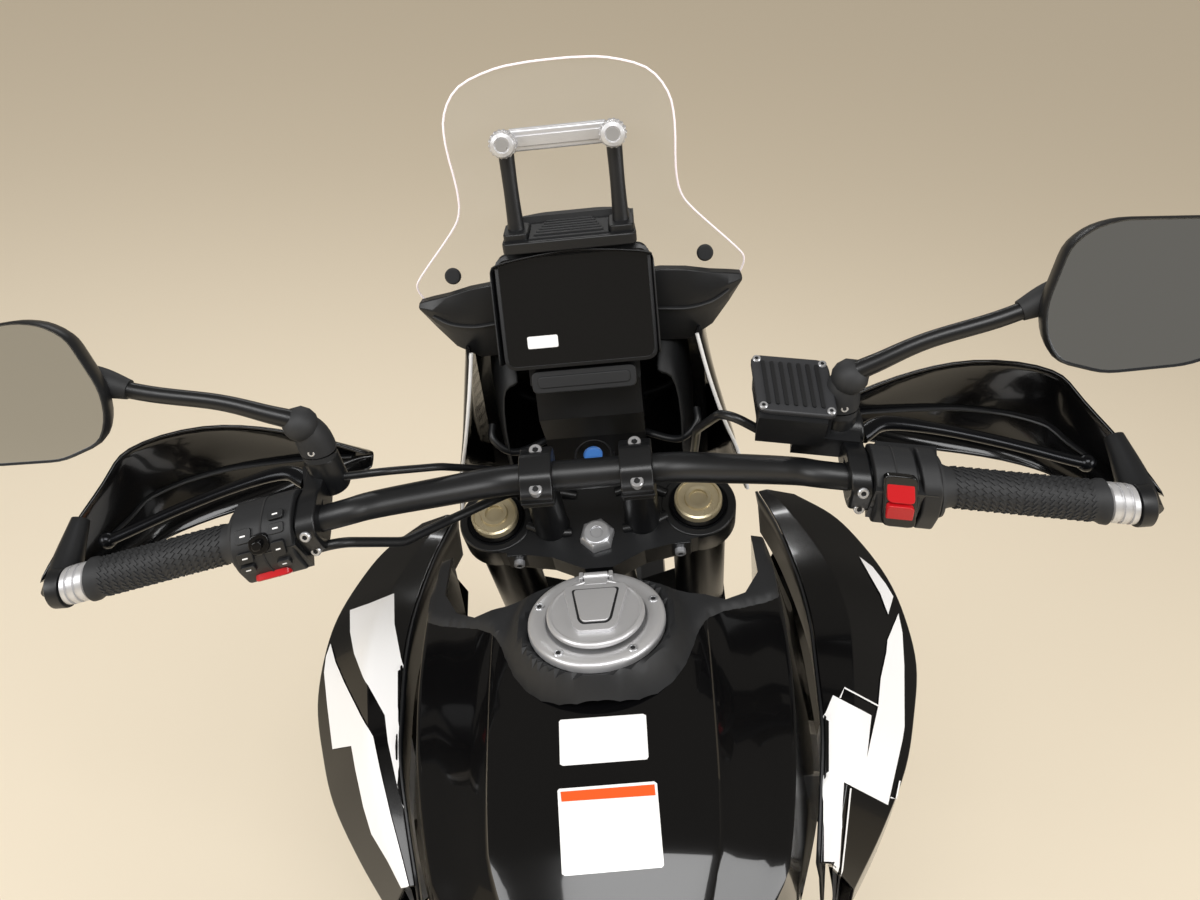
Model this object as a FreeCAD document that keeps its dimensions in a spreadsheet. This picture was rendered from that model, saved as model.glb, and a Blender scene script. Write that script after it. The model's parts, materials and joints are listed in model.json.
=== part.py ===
import FreeCAD, Part
import math
import os
import re
import Sketcher
from FreeCAD import Placement, Rotation, Vector

# A mid-size adventure motorcycle leaning on its side stand, in millimetres and degrees.
# It is drawn upright: X forward from the rear axle, Y to the rider's left, Z up from the ground.
# Each finished piece is then leaned over and moved so that the ground under its middle is the origin.

os.makedirs("parts", exist_ok=True)
doc = FreeCAD.newDocument("adventure_motorcycle")

SIZES = {
    # Stance: where the two wheels and the steering axis stand
    "wheelbase": 1505,
    "rake": 26,
    "fork_offset": 58.18,  # from the steering axis forward to the front axle
    "lean_angle": 11,
    "seat_gap": 0.2,  # between pieces that are seated on each other
    "running_gap": 0.5,  # between a pin and the piece that turns on it
    # Tyres and rims
    "front_tyre_radius": 348,
    "front_tyre_half": 46,
    "front_crown": 48,
    "front_seat_radius": 270,
    "front_bead_half": 26.5,
    "rear_tyre_radius": 334,
    "rear_tyre_half": 75,
    "rear_crown": 78,
    "rear_seat_radius": 232,
    "rear_bead_half": 54,
    "flange_rise": 12,
    "flange_wall": 3.5,
    "rim_depth": 18,
    "spoke_radius": 2,
    "spoke_groups": 9,  # of four spokes in each wheel
    # Hubs, axles and brake discs
    "front_axle_radius": 9.5,
    "rear_axle_radius": 11,
    "hub_flange_radius": 40,
    "hub_core_radius": 27,
    "spoke_flange_half": 40,
    "disc_wall": 5,
    "pad_gap": 5,  # from a brake disc to its caliper
    "front_disc_radius": 150,
    "front_disc_y": 64,
    "rear_disc_radius": 120,
    "rear_disc_y": 86,
    # Chain drive
    "sprocket_y": 97,
    "sprocket_wall": 6,
    "sprocket_teeth": 44,
    "front_sprocket_teeth": 15,
    "chain_pitch": 15.875,
    # Steering head and fork, heights measured up the steering axis
    "fork_half": 103,
    "fork_lead": 30,
    "outer_radius": 28,
    "inner_radius": 21.5,
    "fork_top": 1154,
    "outer_bottom": 770,
    "upper_yoke_bottom": 1120,
    "lower_yoke_bottom": 905,
    "yoke_height": 30,
    "head_tube_radius": 33,
    "stem_radius": 16,
    "cap_radius": 24,
    "cap_height": 9,
    "stem_nut_radius": 18,
    "key_lead": 88,
    "key_radius": 20,
    # Handlebar and what is on it
    "bar_radius": 14,
    "bar_end_radius": 11,
    "clamp_half": 46,
    "riser_radius": 16,
    "grip_radius": 17,
    # Frame and swingarm
    "pivot_x": 575,
    "pivot_z": 400,
    "pivot_radius": 12,
    "frame_tube": 16,
    "subframe_tube": 12,
    "spar_half": 134,
    "plate_inner": 112.4,
    "arm_wall": 24,
    # Tank, filler and bodywork
    "cap_x": 985,
    "cap_z": 1031,
    "filler_ring_radius": 62,
    "filler_lid_radius": 44,
    "filler_bore_radius": 23,
    "filler_bore_depth": 28,
    "ring_wall": 8,
    "lid_wall": 6,
    "console_rise": 5,
    "screen_wall": 4,
    # Side stand
    "stand_pivot_x": 660,
    "stand_pivot_y": 168,
    "stand_pivot_z": 285,
    "stand_foot_x": 724,
    "stand_foot_y": 268,
}

sheet = doc.addObject("Spreadsheet::Sheet", "Dims")
for row, (alias, value) in enumerate(SIZES.items(), 1):
    sheet.set(f"A{row}", alias)
    sheet.set(f"B{row}", str(value))
    sheet.setAlias(f"B{row}", alias)
doc.recompute()
D = sheet

ALIAS = re.compile(r"[a-z][a-z_]+")
UP = Vector(0, 0, 1)
LEFT = Vector(0, 1, 0)
AHEAD = Vector(1, 0, 0)
STRAIGHT_UP = Rotation()


def cells(formula):
    """A formula of aliases, as an expression on the sheet."""
    return ALIAS.sub(lambda word: "Dims." + word[0] if word[0] in SIZES else word[0], str(formula))


def amount(formula):
    """The value of a formula of aliases."""
    return float(sheet.evalExpression(cells(formula)))


# Frames: the steering frame has Z up the steering axis, X square to it and forward
trail = (D.front_tyre_radius * math.sin(math.radians(D.rake)) - D.fork_offset) / math.cos(math.radians(D.rake))
STEERING = Placement(Vector(D.wheelbase + trail, 0, 0), Rotation(LEFT, -D.rake))
LEAN = Placement(Vector(), Rotation(AHEAD, -D.lean_angle))
FRONT_AXLE = Vector(D.wheelbase, 0, D.front_tyre_radius)
REAR_AXLE = Vector(0, 0, D.rear_tyre_radius)
AXLE_IN_FORK = STEERING.inverse().multVec(FRONT_AXLE)

finished = []


def piece(label, shape, frame=Placement()):
    """Names a finished sub-part and leans it over with the motorcycle."""
    shape.Label = label
    finished.append((shape, frame * shape.Placement))
    return shape


def steer(x, y, z):
    """A point given in the upright frame, in the steering frame."""
    return STEERING.inverse().multVec(Vector(x, y, z))


def primitive(kind, name, base, turn=STRAIGHT_UP, **formulas):
    """A Part primitive whose sizes are bound to the sheet."""
    shape = doc.addObject("Part::" + kind, name)
    for size, formula in formulas.items():
        shape.setExpression(size, cells(formula))
    shape.Placement = Placement(base, turn)
    return shape


def rod(name, start, end, radius):
    """A cylinder from one point to another."""
    way = end - start
    return primitive("Cylinder", name, start, Rotation(UP, way), Radius=radius, Height=way.Length)


def across(name, x, z, y_start, y_end, radius):
    """A cylinder that lies across the motorcycle."""
    return rod(name, Vector(x, y_start, z), Vector(x, y_end, z), radius)


def block(name, centre, length, width, height, turn=STRAIGHT_UP):
    """A box about its centre, turned in place."""
    half = Vector(amount(length), amount(width), amount(height)) * 0.5
    base = centre - turn.multVec(half)
    return primitive("Box", name, base, turn, Length=length, Width=width, Height=height)


def join(name, *shapes, refined=True):
    fused = doc.addObject("Part::MultiFuse", name)
    fused.Shapes = list(shapes)
    fused.Refine = refined
    return fused


def cut(name, base, *tools):
    """The base with each tool taken out of it."""
    tool = tools[0] if len(tools) == 1 else join(name + "_tools", *tools)
    result = doc.addObject("Part::Cut", name)
    result.Base = base
    result.Tool = tool
    return result


def common(name, base, tool):
    result = doc.addObject("Part::Common", name)
    result.Base = base
    result.Tool = tool
    return result


def mirrored(name, shape):
    other = doc.addObject("Part::Mirroring", name)
    other.Source = shape
    other.Normal = LEFT
    other.Base = Vector()
    return other


def group(name, *shapes):
    """Solids that don't touch, held as one piece."""
    together = doc.addObject("Part::Compound", name)
    together.Links = list(shapes)
    return together


def points(*rows):
    return [Vector(*row) for row in rows]


def both(name, shape):
    """A piece and its mirror image on the other side."""
    return group(name, shape, mirrored(name + "_mirrored", shape))


def solid(name, shape):
    """A shape made with Part's own functions."""
    feature = doc.addObject("Part::Feature", name)
    feature.Shape = shape
    return feature


def bent_path(points, bend):
    """Straight runs through the points, joined by tangent arcs."""
    edges = []
    here = points[0]
    for before, corner, after in zip(points, points[1:], points[2:]):
        back = before - corner
        ahead = after - corner
        half_turn = (math.pi - back.getAngle(ahead)) / 2
        reach = min(bend * math.tan(half_turn), 0.45 * back.Length, 0.45 * ahead.Length)
        back.normalize()
        ahead.normalize()
        inward = (back + ahead).normalize()
        radius = reach / math.tan(half_turn)
        middle = corner + inward * (radius / math.cos(half_turn) - radius)
        start = corner + back * reach
        end = corner + ahead * reach
        edges.append(Part.LineSegment(here, start).toShape())
        edges.append(Part.Arc(start, middle, end).toShape())
        here = end
    edges.append(Part.LineSegment(here, points[-1]).toShape())
    return Part.Wire(edges)


def tube(name, points, radius, bend=60):
    """A round bar or tube bent through the points."""
    path = solid(name + "_path", bent_path(points, bend))
    ring = primitive("Circle", name + "_ring", points[0], Rotation(UP, points[1] - points[0]), Radius=radius)
    sweep = doc.addObject("Part::Sweep", name)
    sweep.Sections = [ring]
    sweep.Spine = (path, [f"Edge{index + 1}" for index in range(len(path.Shape.Edges))])
    sweep.Solid = True
    sweep.Frenet = False
    return sweep


def profile(body, plane, outline):
    """A closed sketch; a corner is (across, up) or (across, up, radius of the arc that leaves it)."""
    sketch = body.newObject("Sketcher::SketchObject", body.Name + "_outline")
    support = [feature for feature in body.Origin.OriginFeatures if feature.Role == plane][0]
    sketch.AttachmentSupport = [(support, "")]
    sketch.MapMode = "FlatFace"
    for corner, following in zip(outline, outline[1:] + outline[:1]):
        ends = [corner[:2], following[:2]]
        start, end = [Vector(amount(x), amount(y), 0) for x, y in ends]
        if len(corner) == 3:
            radius = amount(corner[2])
            chord = end - start
            rise = math.sqrt(max(radius ** 2 - chord.Length ** 2 / 4, 0))
            side = Vector(-chord.y, chord.x, 0).normalize()
            centre = (start + end) * 0.5 + side * rise * math.copysign(1, radius)
            bulge = (start + end) * 0.5 - side * (abs(radius) - rise) * math.copysign(1, radius)
            arc = Part.Arc(start, bulge, end)
            index = sketch.addGeometry(arc, False)
            at_start = sketch.Geometry[index].StartPoint.distanceToPoint(start) < 0.001
            corners = ends if at_start else ends[::-1]
        else:
            index = sketch.addGeometry(Part.LineSegment(start, end), False)
            corners = ends
        for spot, (x, y) in zip((1, 2), corners):
            for kind, formula in (("DistanceX", x), ("DistanceY", y)):
                number = sketch.addConstraint(Sketcher.Constraint(kind, -1, 1, index, spot, amount(formula)))
                sketch.setExpression(f"Constraints[{number}]", cells(formula))
        if len(corner) == 3:
            number = sketch.addConstraint(Sketcher.Constraint("Radius", index, abs(radius)))
            sketch.setExpression(f"Constraints[{number}]", cells(f"abs({corner[2]})"))
    return sketch


def revolved(name, outline, angle=360):
    """A body turned about the lateral axis; its outline is (radius, sideways)."""
    body = doc.addObject("PartDesign::Body", name)
    sketch = profile(body, "XY_Plane", outline)
    turn = body.newObject("PartDesign::Revolution", name + "_turn")
    turn.Profile = sketch
    turn.ReferenceAxis = (sketch, ["V_Axis"])
    turn.Angle = angle
    return body


def padded(name, outline, plane, thickness, middle=True):
    """A body padded from an outline on a plane, about that plane or from it."""
    body = doc.addObject("PartDesign::Body", name)
    sketch = profile(body, plane, outline)
    pad = body.newObject("PartDesign::Pad", name + "_pad")
    pad.Profile = sketch
    pad.setExpression("Length", cells(thickness))
    pad.Midplane = middle
    return body


def moved(shape, base, turn=STRAIGHT_UP):
    shape.Placement = Placement(base, turn)
    return shape


def lofted(name, wires, smooth=True):
    """A solid through closed wires."""
    return solid(name, Part.makeLoft(wires, True, not smooth))


# Wheels

def tyre(name, radius, half, crown, seat, bead):
    """A tyre with a round crown, in short straight bands, down to its beads on the rim."""
    bands = 6
    widest = math.asin(amount(half) / amount(crown))
    round_top = []
    for band in range(bands + 1):
        angle = widest * (2 * band / bands - 1)
        round_top.append((f"{radius} - {crown} * {1 - math.cos(angle):.6f}",
                          f"{crown} * {math.sin(angle):.6f}"))
    outline = [(seat, f"-{bead}"), (f"{seat} + flange_rise + 2", f"-{bead}")]
    outline += round_top
    outline += [(f"{seat} + flange_rise + 2", bead), (seat, bead)]
    return revolved(name, outline)


def rim(name, seat, bead):
    """A deep rim whose flanges hold the beads."""
    inner = f"{seat} - rim_depth"
    flange = f"{bead} + seat_gap"
    outside = f"{bead} + seat_gap + flange_wall"
    outline = [
        (f"{seat} - seat_gap", f"-({flange})"),
        (f"{seat} + flange_rise", f"-({flange})"),
        (f"{seat} + flange_rise", f"-({outside})"),
        (f"{seat} - 8", f"-({outside})"),
        (inner, f"-{bead} * 0.5"),
        (inner, f"{bead} * 0.5"),
        (f"{seat} - 8", outside),
        (f"{seat} + flange_rise", outside),
        (f"{seat} + flange_rise", flange),
        (f"{seat} - seat_gap", flange),
    ]
    return revolved(name, outline)


def hub(name, axle, left_end, right_end):
    """A hub with a flange for each side's spokes and a core out to what it carries."""
    outline = [
        (f"{axle} + running_gap", f"-({right_end})"),
        ("hub_core_radius", f"-({right_end})"),
        ("hub_core_radius", "-spoke_flange_half - 5"),
        ("hub_flange_radius", "-spoke_flange_half - 5"),
        ("hub_flange_radius", "-spoke_flange_half + 5"),
        ("hub_core_radius", "-spoke_flange_half + 12"),
        ("hub_core_radius", "spoke_flange_half - 12"),
        ("hub_flange_radius", "spoke_flange_half - 5"),
        ("hub_flange_radius", "spoke_flange_half + 5"),
        ("hub_core_radius", "spoke_flange_half + 5"),
        ("hub_core_radius", left_end),
        (f"{axle} + running_gap", left_end),
    ]
    return revolved(name, outline)


def spokes(name, seat, bead):
    """Crossed spokes from both flanges of the hub to the rim, six-sided so that they stay light."""
    hub_radius = D.hub_flange_radius - 4.3
    rim_radius = amount(seat) - D.rim_depth + 3
    step = 360 / D.spoke_groups
    shapes = []
    for group_index in range(D.spoke_groups):
        for side in (-1, 1):
            for lean in (-1, 1):
                at_hub = math.radians(step * (group_index + side * 0.25) + lean * 55)
                at_rim = math.radians(step * (group_index + side * 0.25 + lean * 0.125))
                reach = side * (D.spoke_flange_half - 2.5 * lean)
                start = Vector(hub_radius * math.cos(at_hub), reach, hub_radius * math.sin(at_hub))
                inset = side * (amount(bead) * 0.3 - 2.5 * lean)
                end = Vector(rim_radius * math.cos(at_rim), inset, rim_radius * math.sin(at_rim))
                spoke = Part.Face(Part.makePolygon([
                    Vector(D.spoke_radius * math.cos(corner * math.pi / 3),
                           D.spoke_radius * math.sin(corner * math.pi / 3), 0)
                    for corner in range(7)])).extrude(Vector(0, 0, (end - start).Length))
                spoke.Placement = Placement(start, Rotation(UP, end - start))
                shapes.append(spoke)
    return solid(name, Part.makeCompound(shapes))


def disc(name, radius, y, windows):
    """A brake disc on its spider."""
    outline = [
        ("hub_core_radius - 8", f"{y} - disc_wall / 2"),
        (radius, f"{y} - disc_wall / 2"),
        (radius, f"{y} + disc_wall / 2"),
        ("hub_core_radius - 8", f"{y} + disc_wall / 2"),
    ]
    plate = revolved(name + "_plate", outline)
    ring = (amount(radius) + D.hub_core_radius) / 2 - 6
    holes = []
    for window in range(windows):
        angle = math.radians(360 * window / windows)
        centre = Vector(ring * math.cos(angle), amount(y) - D.disc_wall, ring * math.sin(angle))
        holes.append(rod(f"{name}_window_{window}", centre, centre + Vector(0, 2 * D.disc_wall, 0),
                         f"({radius}) * 0.2"))
    return cut(name, plate, *holes)


front_wheel_frame = Placement(FRONT_AXLE, Rotation())
rear_wheel_frame = Placement(REAR_AXLE, Rotation())

piece("front_tyre", tyre("front_tyre_ring", "front_tyre_radius", "front_tyre_half", "front_crown",
                         "front_seat_radius", "front_bead_half"), front_wheel_frame)
front_hub_end = "front_disc_y - disc_wall / 2 - seat_gap"
piece("front_wheel", join("front_wheel_all", rim("front_rim", "front_seat_radius", "front_bead_half"),
                          hub("front_hub", "front_axle_radius", front_hub_end, front_hub_end),
                          spokes("front_spokes", "front_seat_radius", "front_bead_half"), refined=False),
      front_wheel_frame)
piece("front_discs", both("front_discs_all", disc("front_disc", "front_disc_radius", "front_disc_y", 5)),
      front_wheel_frame)

piece("rear_tyre", tyre("rear_tyre_ring", "rear_tyre_radius", "rear_tyre_half", "rear_crown",
                        "rear_seat_radius", "rear_bead_half"), rear_wheel_frame)
piece("rear_wheel", join("rear_wheel_all", rim("rear_rim", "rear_seat_radius", "rear_bead_half"),
                         hub("rear_hub", "rear_axle_radius", "sprocket_y - sprocket_wall / 2 - seat_gap",
                             "rear_disc_y - disc_wall / 2 - seat_gap"),
                         spokes("rear_spokes", "rear_seat_radius", "rear_bead_half"), refined=False),
      rear_wheel_frame)
piece("rear_disc", disc("rear_disc_plate", "rear_disc_radius", "-rear_disc_y", 5), rear_wheel_frame)
sprocket_pitch_radius = "chain_pitch / (2 * sin(180 / sprocket_teeth))"
piece("rear_sprocket", revolved("rear_sprocket_ring", [
    ("hub_core_radius - 8", "sprocket_y - sprocket_wall / 2"),
    (f"{sprocket_pitch_radius} - 13", "sprocket_y - sprocket_wall / 2"),
    (f"{sprocket_pitch_radius} - 13", "sprocket_y + sprocket_wall / 2"),
    ("hub_core_radius - 8", "sprocket_y + sprocket_wall / 2")]), rear_wheel_frame)


# Fork and what it carries, in the steering frame

def upright(name, x, y, bottom, top, radius):
    """A round post along the steering axis."""
    return rod(name, Vector(x, y, amount(bottom)), Vector(x, y, amount(top)), radius)


def yoke(name, bottom, outline):
    """A yoke plate with its fork and stem bores."""
    plate = padded(name, outline, "XY_Plane", "yoke_height", middle=False)
    moved(plate, Vector(0, 0, amount(bottom)))
    bores = [upright(f"{name}_bore_{index}", D.fork_lead, side * D.fork_half, f"{bottom} - 10",
                     f"{bottom} + 60", "outer_radius + seat_gap") for index, side in enumerate((-1, 1))]
    return cut(name + "_bored", plate, *bores)


# Each yoke's plan, left half from the rear middle round to the front middle
upper_half = [("-33", "14"), ("-18", "46"), ("fork_lead - 38", "fork_half - 4"),
              ("fork_lead - 22", "fork_half + 29"),
              ("fork_lead + 22", "fork_half + 29"), ("fork_lead + 37", "fork_half - 2"), ("fork_lead + 24",
                      "52"),
              ("key_lead - 26", "24"), ("key_lead - 20 - seat_gap", "12")]
lower_half = [("-33", "14"), ("-22", "50"), ("fork_lead - 38", "fork_half - 4"),
              ("fork_lead - 22", "fork_half + 29"),
              ("fork_lead + 22", "fork_half + 29"), ("fork_lead + 37", "fork_half - 2"), ("fork_lead + 20",
                      "40"),
              ("fork_lead + 14", "14")]


def across_middle(half_outline):
    """A plan outline from its left half."""
    return [(x, f"-({y})") for x, y in half_outline] + half_outline[::-1]


upper_yoke = yoke("upper_yoke", "upper_yoke_bottom", across_middle(upper_half))
lower_yoke = yoke("lower_yoke", "lower_yoke_bottom", across_middle(lower_half))
stem = upright("steering_stem", 0, 0, "lower_yoke_bottom", "upper_yoke_bottom + yoke_height", "stem_radius")
piece("fork_yokes", join("fork_yokes_all", upper_yoke, lower_yoke, stem), STEERING)

yoke_top = D.upper_yoke_bottom + D.yoke_height
stem_nut = upright("stem_nut", 0, 0, yoke_top, yoke_top + 13, "stem_nut_radius")
fork_cap = upright("fork_cap", D.fork_lead, D.fork_half, "fork_top", "fork_top + cap_height", "cap_radius")
piece("fork_caps", group("fork_caps_all", stem_nut, fork_cap, mirrored("fork_cap_right", fork_cap)), STEERING)

fork_outer = upright("fork_outer", D.fork_lead, D.fork_half, "outer_bottom", "fork_top", "outer_radius")
outer_foot = upright("outer_foot", D.fork_lead, D.fork_half, "outer_bottom", "outer_bottom + 60",
                     "outer_radius + 3")
piece("fork_outers", both("fork_outers_all", join("fork_outer_stepped", fork_outer, outer_foot)), STEERING)

leg = upright("fork_leg", D.fork_lead, D.fork_half, AXLE_IN_FORK.z - 10, "outer_bottom", "inner_radius")
foot_middle = Vector((D.fork_lead + AXLE_IN_FORK.x) / 2, D.fork_half, AXLE_IN_FORK.z + 22)
foot = block("fork_foot", foot_middle, "72", "44", "106")
foot_collar = upright("foot_collar", D.fork_lead, D.fork_half, foot_middle.z + 40, foot_middle.z + 90,
                      "inner_radius + 6")
foot_bore = rod("fork_foot_bore", Vector(AXLE_IN_FORK.x, D.fork_half - 40, AXLE_IN_FORK.z),
                Vector(AXLE_IN_FORK.x, D.fork_half + 40, AXLE_IN_FORK.z), "front_axle_radius + seat_gap")
fork_lower = cut("fork_lower", join("fork_lower_solid", leg, foot, foot_collar), foot_bore)
piece("fork_lowers", both("fork_lowers_all", fork_lower), STEERING)

axle_end = D.fork_half + 30
piece("front_axle", rod("front_axle_rod", Vector(AXLE_IN_FORK.x, -axle_end, AXLE_IN_FORK.z),
                        Vector(AXLE_IN_FORK.x, axle_end, AXLE_IN_FORK.z), "front_axle_radius"), STEERING)

# Front fender: an arch about the axle, on a bracket at each fork leg
arch_half = [("front_tyre_radius - 30", "front_tyre_half + 14"),
             ("front_tyre_radius - 6", "front_tyre_half + 11"),
             ("front_tyre_radius + 10", "front_tyre_half * 0.55"), ("front_tyre_radius + 15", "0")]
skin_half = [("front_tyre_radius + 18", "0"), ("front_tyre_radius + 13", "front_tyre_half * 0.6"),
             ("front_tyre_radius - 4", "front_tyre_half + 15"), ("front_tyre_radius - 30",
                                                                 "front_tyre_half + 17")]
arch_outline = arch_half + [(x, f"-({y})") for x, y in arch_half[-2::-1]]
arch_outline += [(x, f"-({y})") for x, y in skin_half[::-1]] + skin_half[1:]
fender_arch = revolved("front_fender_arch", arch_outline, angle=125)
moved(fender_arch, AXLE_IN_FORK, Rotation(LEFT, -148))
bracket_inner = D.front_tyre_half + 13.8
bracket_outer = D.fork_half - D.inner_radius - D.seat_gap
fender_bracket = block("fender_bracket", Vector(D.fork_lead, (bracket_inner + bracket_outer) / 2,
                                                AXLE_IN_FORK.z + D.front_tyre_radius - 18),
                       "40", bracket_outer - bracket_inner, "36")
piece("front_fender", join("front_fender_all", fender_arch, fender_bracket,
                           mirrored("fender_bracket_right", fender_bracket)), STEERING)

# Front brake calipers over the rear of each disc, with a lug to the fork foot
caliper_way = Vector(-0.906, 0, 0.423)
CALIPER_TURN = Rotation(AHEAD, caliper_way)
caliper_y = D.front_disc_y + 3
caliper_block = block("caliper_block", AXLE_IN_FORK + caliper_way * 138 + LEFT * caliper_y, "60", "42",
                      "92", CALIPER_TURN)
caliper_slot = block("caliper_slot", AXLE_IN_FORK + caliper_way * 80 + LEFT * D.front_disc_y,
                     "2 * (front_disc_radius - 80) + 12", "disc_wall + 2 * pad_gap", "130", CALIPER_TURN)
foot_rear = foot_middle.x - 36 - D.seat_gap
caliper_lug = block("caliper_lug", Vector((foot_rear - 62) / 2, D.fork_half - 15, AXLE_IN_FORK.z + 6),
                    foot_rear + 62, "9", "34")
front_caliper = join("front_caliper", cut("caliper_cut", caliper_block, caliper_slot), caliper_lug)
piece("front_calipers", both("front_calipers_all", front_caliper), STEERING)

piece("ignition_switch", upright("ignition_barrel", D.key_lead, 0, "upper_yoke_bottom - 16",
                                 "upper_yoke_bottom + yoke_height + 12", "key_radius"), STEERING)

# Handlebar: left half, as points of the upright frame
BAR = [(1080, 0, 1128), (1078, 84, 1128), (992, 200, 1166), (964, 416, 1138)]
bar_left = [steer(*point) for point in BAR]
bar_line = [Vector(point.x, -point.y, point.z) for point in bar_left[:0:-1]] + bar_left
bar_thin = tube("handlebar_thin", bar_line, "bar_end_radius", bend=60)
bar_thick = tube("handlebar_thick", [bar_line[1] + (bar_line[2] - bar_line[1]) * 0.35] + bar_line[2:5]
                 + [bar_line[5] + (bar_line[4] - bar_line[5]) * 0.35], "bar_radius", bend=60)
piece("handlebar", join("handlebar_all", bar_thin, bar_thick), STEERING)

bar_middle = bar_left[0]
riser = upright("riser", bar_middle.x, D.clamp_half, yoke_top, bar_middle.z - 4, "riser_radius")
clamp = block("bar_clamp", Vector(bar_middle.x, D.clamp_half, bar_middle.z), "54", "32", "36")
clamp_bore = tube("clamp_bore", bar_line[1:6], "bar_radius + seat_gap", bend=60)
piece("bar_clamps", both("bar_clamps_all",
                         cut("bar_clamp_cut", join("bar_clamp_solid", riser, clamp), clamp_bore)), STEERING)

bar_way = (bar_left[3] - bar_left[2]) * (1 / (bar_left[3].y - bar_left[2].y))
BAR_TURN = Rotation(LEFT, bar_way)


def bar_place(y):
    """The point of the left bar's straight end at a lateral place."""
    return bar_left[2] + bar_way * (y - bar_left[2].y)


def sleeve(name, start, end, radius):
    """A round sleeve on the straight end of the left bar."""
    return rod(name, bar_place(start), bar_place(end), radius)


def bored(name, shape):
    """A shape with the bar's bore through it."""
    return cut(name, shape, rod(name + "_bar", bar_place(202), bar_place(430), "bar_end_radius + seat_gap"))


GRIP_START, GRIP_END = 290, 412
grip = join("grip_all", sleeve("grip_sleeve", GRIP_START, GRIP_END, "grip_radius"),
            sleeve("grip_flange", GRIP_START - 4, GRIP_START + 2, "grip_radius + 8"))
piece("grips", both("grips_all", bored("grip", grip)), STEERING)
piece("bar_end_weights", both("bar_end_weights_all",
                              sleeve("bar_end_weight", 416.2, 438, "grip_radius - 1")), STEERING)


def housing(name, start, end, length, height, rise):
    """A switch housing about the bar, boxed and rounded at the bar."""
    middle = bar_place((start + end) / 2)
    box = block(name + "_box", middle + Vector(0, 0, rise), length, end - start, height, BAR_TURN)
    return bored(name, join(name + "_solid", box, sleeve(name + "_round", start, end, "24")))


switch_left = housing("switch_left", 236, 284, "54", "40", -6)
switch_right = mirrored("switch_right", housing("switch_right_source", 236, 284, "46", "44", 0))
loom_start = [bar_place(y) + Vector(-15, 0, -20) for y in (235.6, 208)]
loom = tube("switch_loom", loom_start + points((-40, 168, 1250), (-4, 134, 1218), (36, 84, 1190),
                                               (44, 62, 1174), (44, 62, yoke_top + 0.2)),
            "4.5", bend=30)
piece("switchgear", group("switchgear_all", switch_left, loom, switch_right), STEERING)

# Lever perches with the mirrors' sockets; the right one carries the brake's master cylinder
perch_middle = bar_place(224)
perch = join("perch_solid", sleeve("perch_ring", 220, 234.8, "19"),
             block("perch_arm", perch_middle + Vector(30, 3, -2), "44", "16", "18", BAR_TURN))
mirror_base = steer(1024, 218, 1204)
mirror_socket = upright("mirror_socket", mirror_base.x, mirror_base.y, perch_middle.z - 10, mirror_base.z,
                        "11")
clutch_cable = tube("clutch_cable", [perch_middle + Vector(40, -4, 0)] + points((-6, 170, 1318),
        (14, 128, 1286), (44, 92, 1224),
                                                                                  (52, 78, 1176), (52, 78,
                                                                                          yoke_top + 0.2)), "3.5", bend=34)
perch_left = bored("perch_left", join("perch_left_solid", perch, mirror_socket, clutch_cable))
cylinder_block = block("master_cylinder", perch_middle + Vector(44, -17.5, 6), "34", "53", "26", BAR_TURN)
reservoir = block("reservoir", perch_middle + Vector(50, -46, 33), "46", "54", "34", BAR_TURN)
perch_right = bored("perch_right", join("perch_right_solid", perch, mirror_socket, cylinder_block, reservoir))
# Brake hoses, drawn on the left and mirrored with the perch: down the front of the fork and round each leg
# to its caliper
HOSE = "4"
hose_start = perch_middle + Vector(44, -44.2, 6)
hose_end = points((-48, 134, 468), (-60, 118, 436), (-60, D.front_disc_y + 24.2, 436))
brake_hose = tube("brake_hose", [hose_start, hose_start - LEFT * 20] + points((12, 124, 1340),
        (46, 104, 1262), (60, 102, 1200), (76, 110, 1140), (76, 110, 620),
                                                                              (66, 136, 545), (12, 142,
                                                                                      490)) + hose_end, HOSE, bend=34)
cross_hose = tube("cross_hose", points((76, 105.8, 1010), (76, 60, 985), (76, -60, 955), (76, -110, 915),
                                       (76, -110, 620), (66, -136, 545),
                                       (12, -142,
                                        490)) + [Vector(point.x, -point.y,
                                                        point.z) for point in hose_end], HOSE, bend=34)
right_side = group("perch_right_side", perch_right, brake_hose, cross_hose)
piece("lever_perches", group("lever_perches_all", perch_left,
                             mirrored("perch_right_mirrored", right_side)), STEERING)

lever_line = [perch_middle + BAR_TURN.multVec(Vector(42, 11.9, 0))]
lever_line += [bar_place(y) + Vector(ahead, 0, -rise) for y, ahead,
               rise in ((258, 54, 4), (325, 50, 6), (412, 30, 8))]
lever = tube("lever", lever_line, "6", bend=60)
piece("hand_levers", both("hand_levers_all", lever), STEERING)

# Handguards: a shell outside the lever, carried at the bar's end
GUARD = [
    # y, x of the outside, bottom height, top height
    (447, 1004, 1118, 1172),
    (416, 1070, 1106, 1192),
    (362, 1110, 1100, 1200),
    (292, 1122, 1112, 1190),
    (230, 1110, 1128, 1164),
]
guard_wall = 5


def guard_ring(y, x, low, high):
    corners = [(x, y, low), (x + guard_wall, y, (low + high) / 2 - 8), (x, y, high),
               (x - guard_wall, y, high),
               (x - guard_wall + 2, y, (low + high) / 2 - 8), (x - guard_wall, y, low)]
    ring = [steer(*corner) for corner in corners]
    return Part.makePolygon(ring + ring[:1])


guard_shell = lofted("guard_shell", [guard_ring(*row) for row in GUARD], smooth=False)
guard_stay = block("guard_stay", bar_place(444.4) + BAR_TURN.multVec(Vector(25, 0, 0)), "80", "12", "26",
                   BAR_TURN)
piece("handguards", both("handguards_all", join("handguard", guard_shell, guard_stay)), STEERING)

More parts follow.
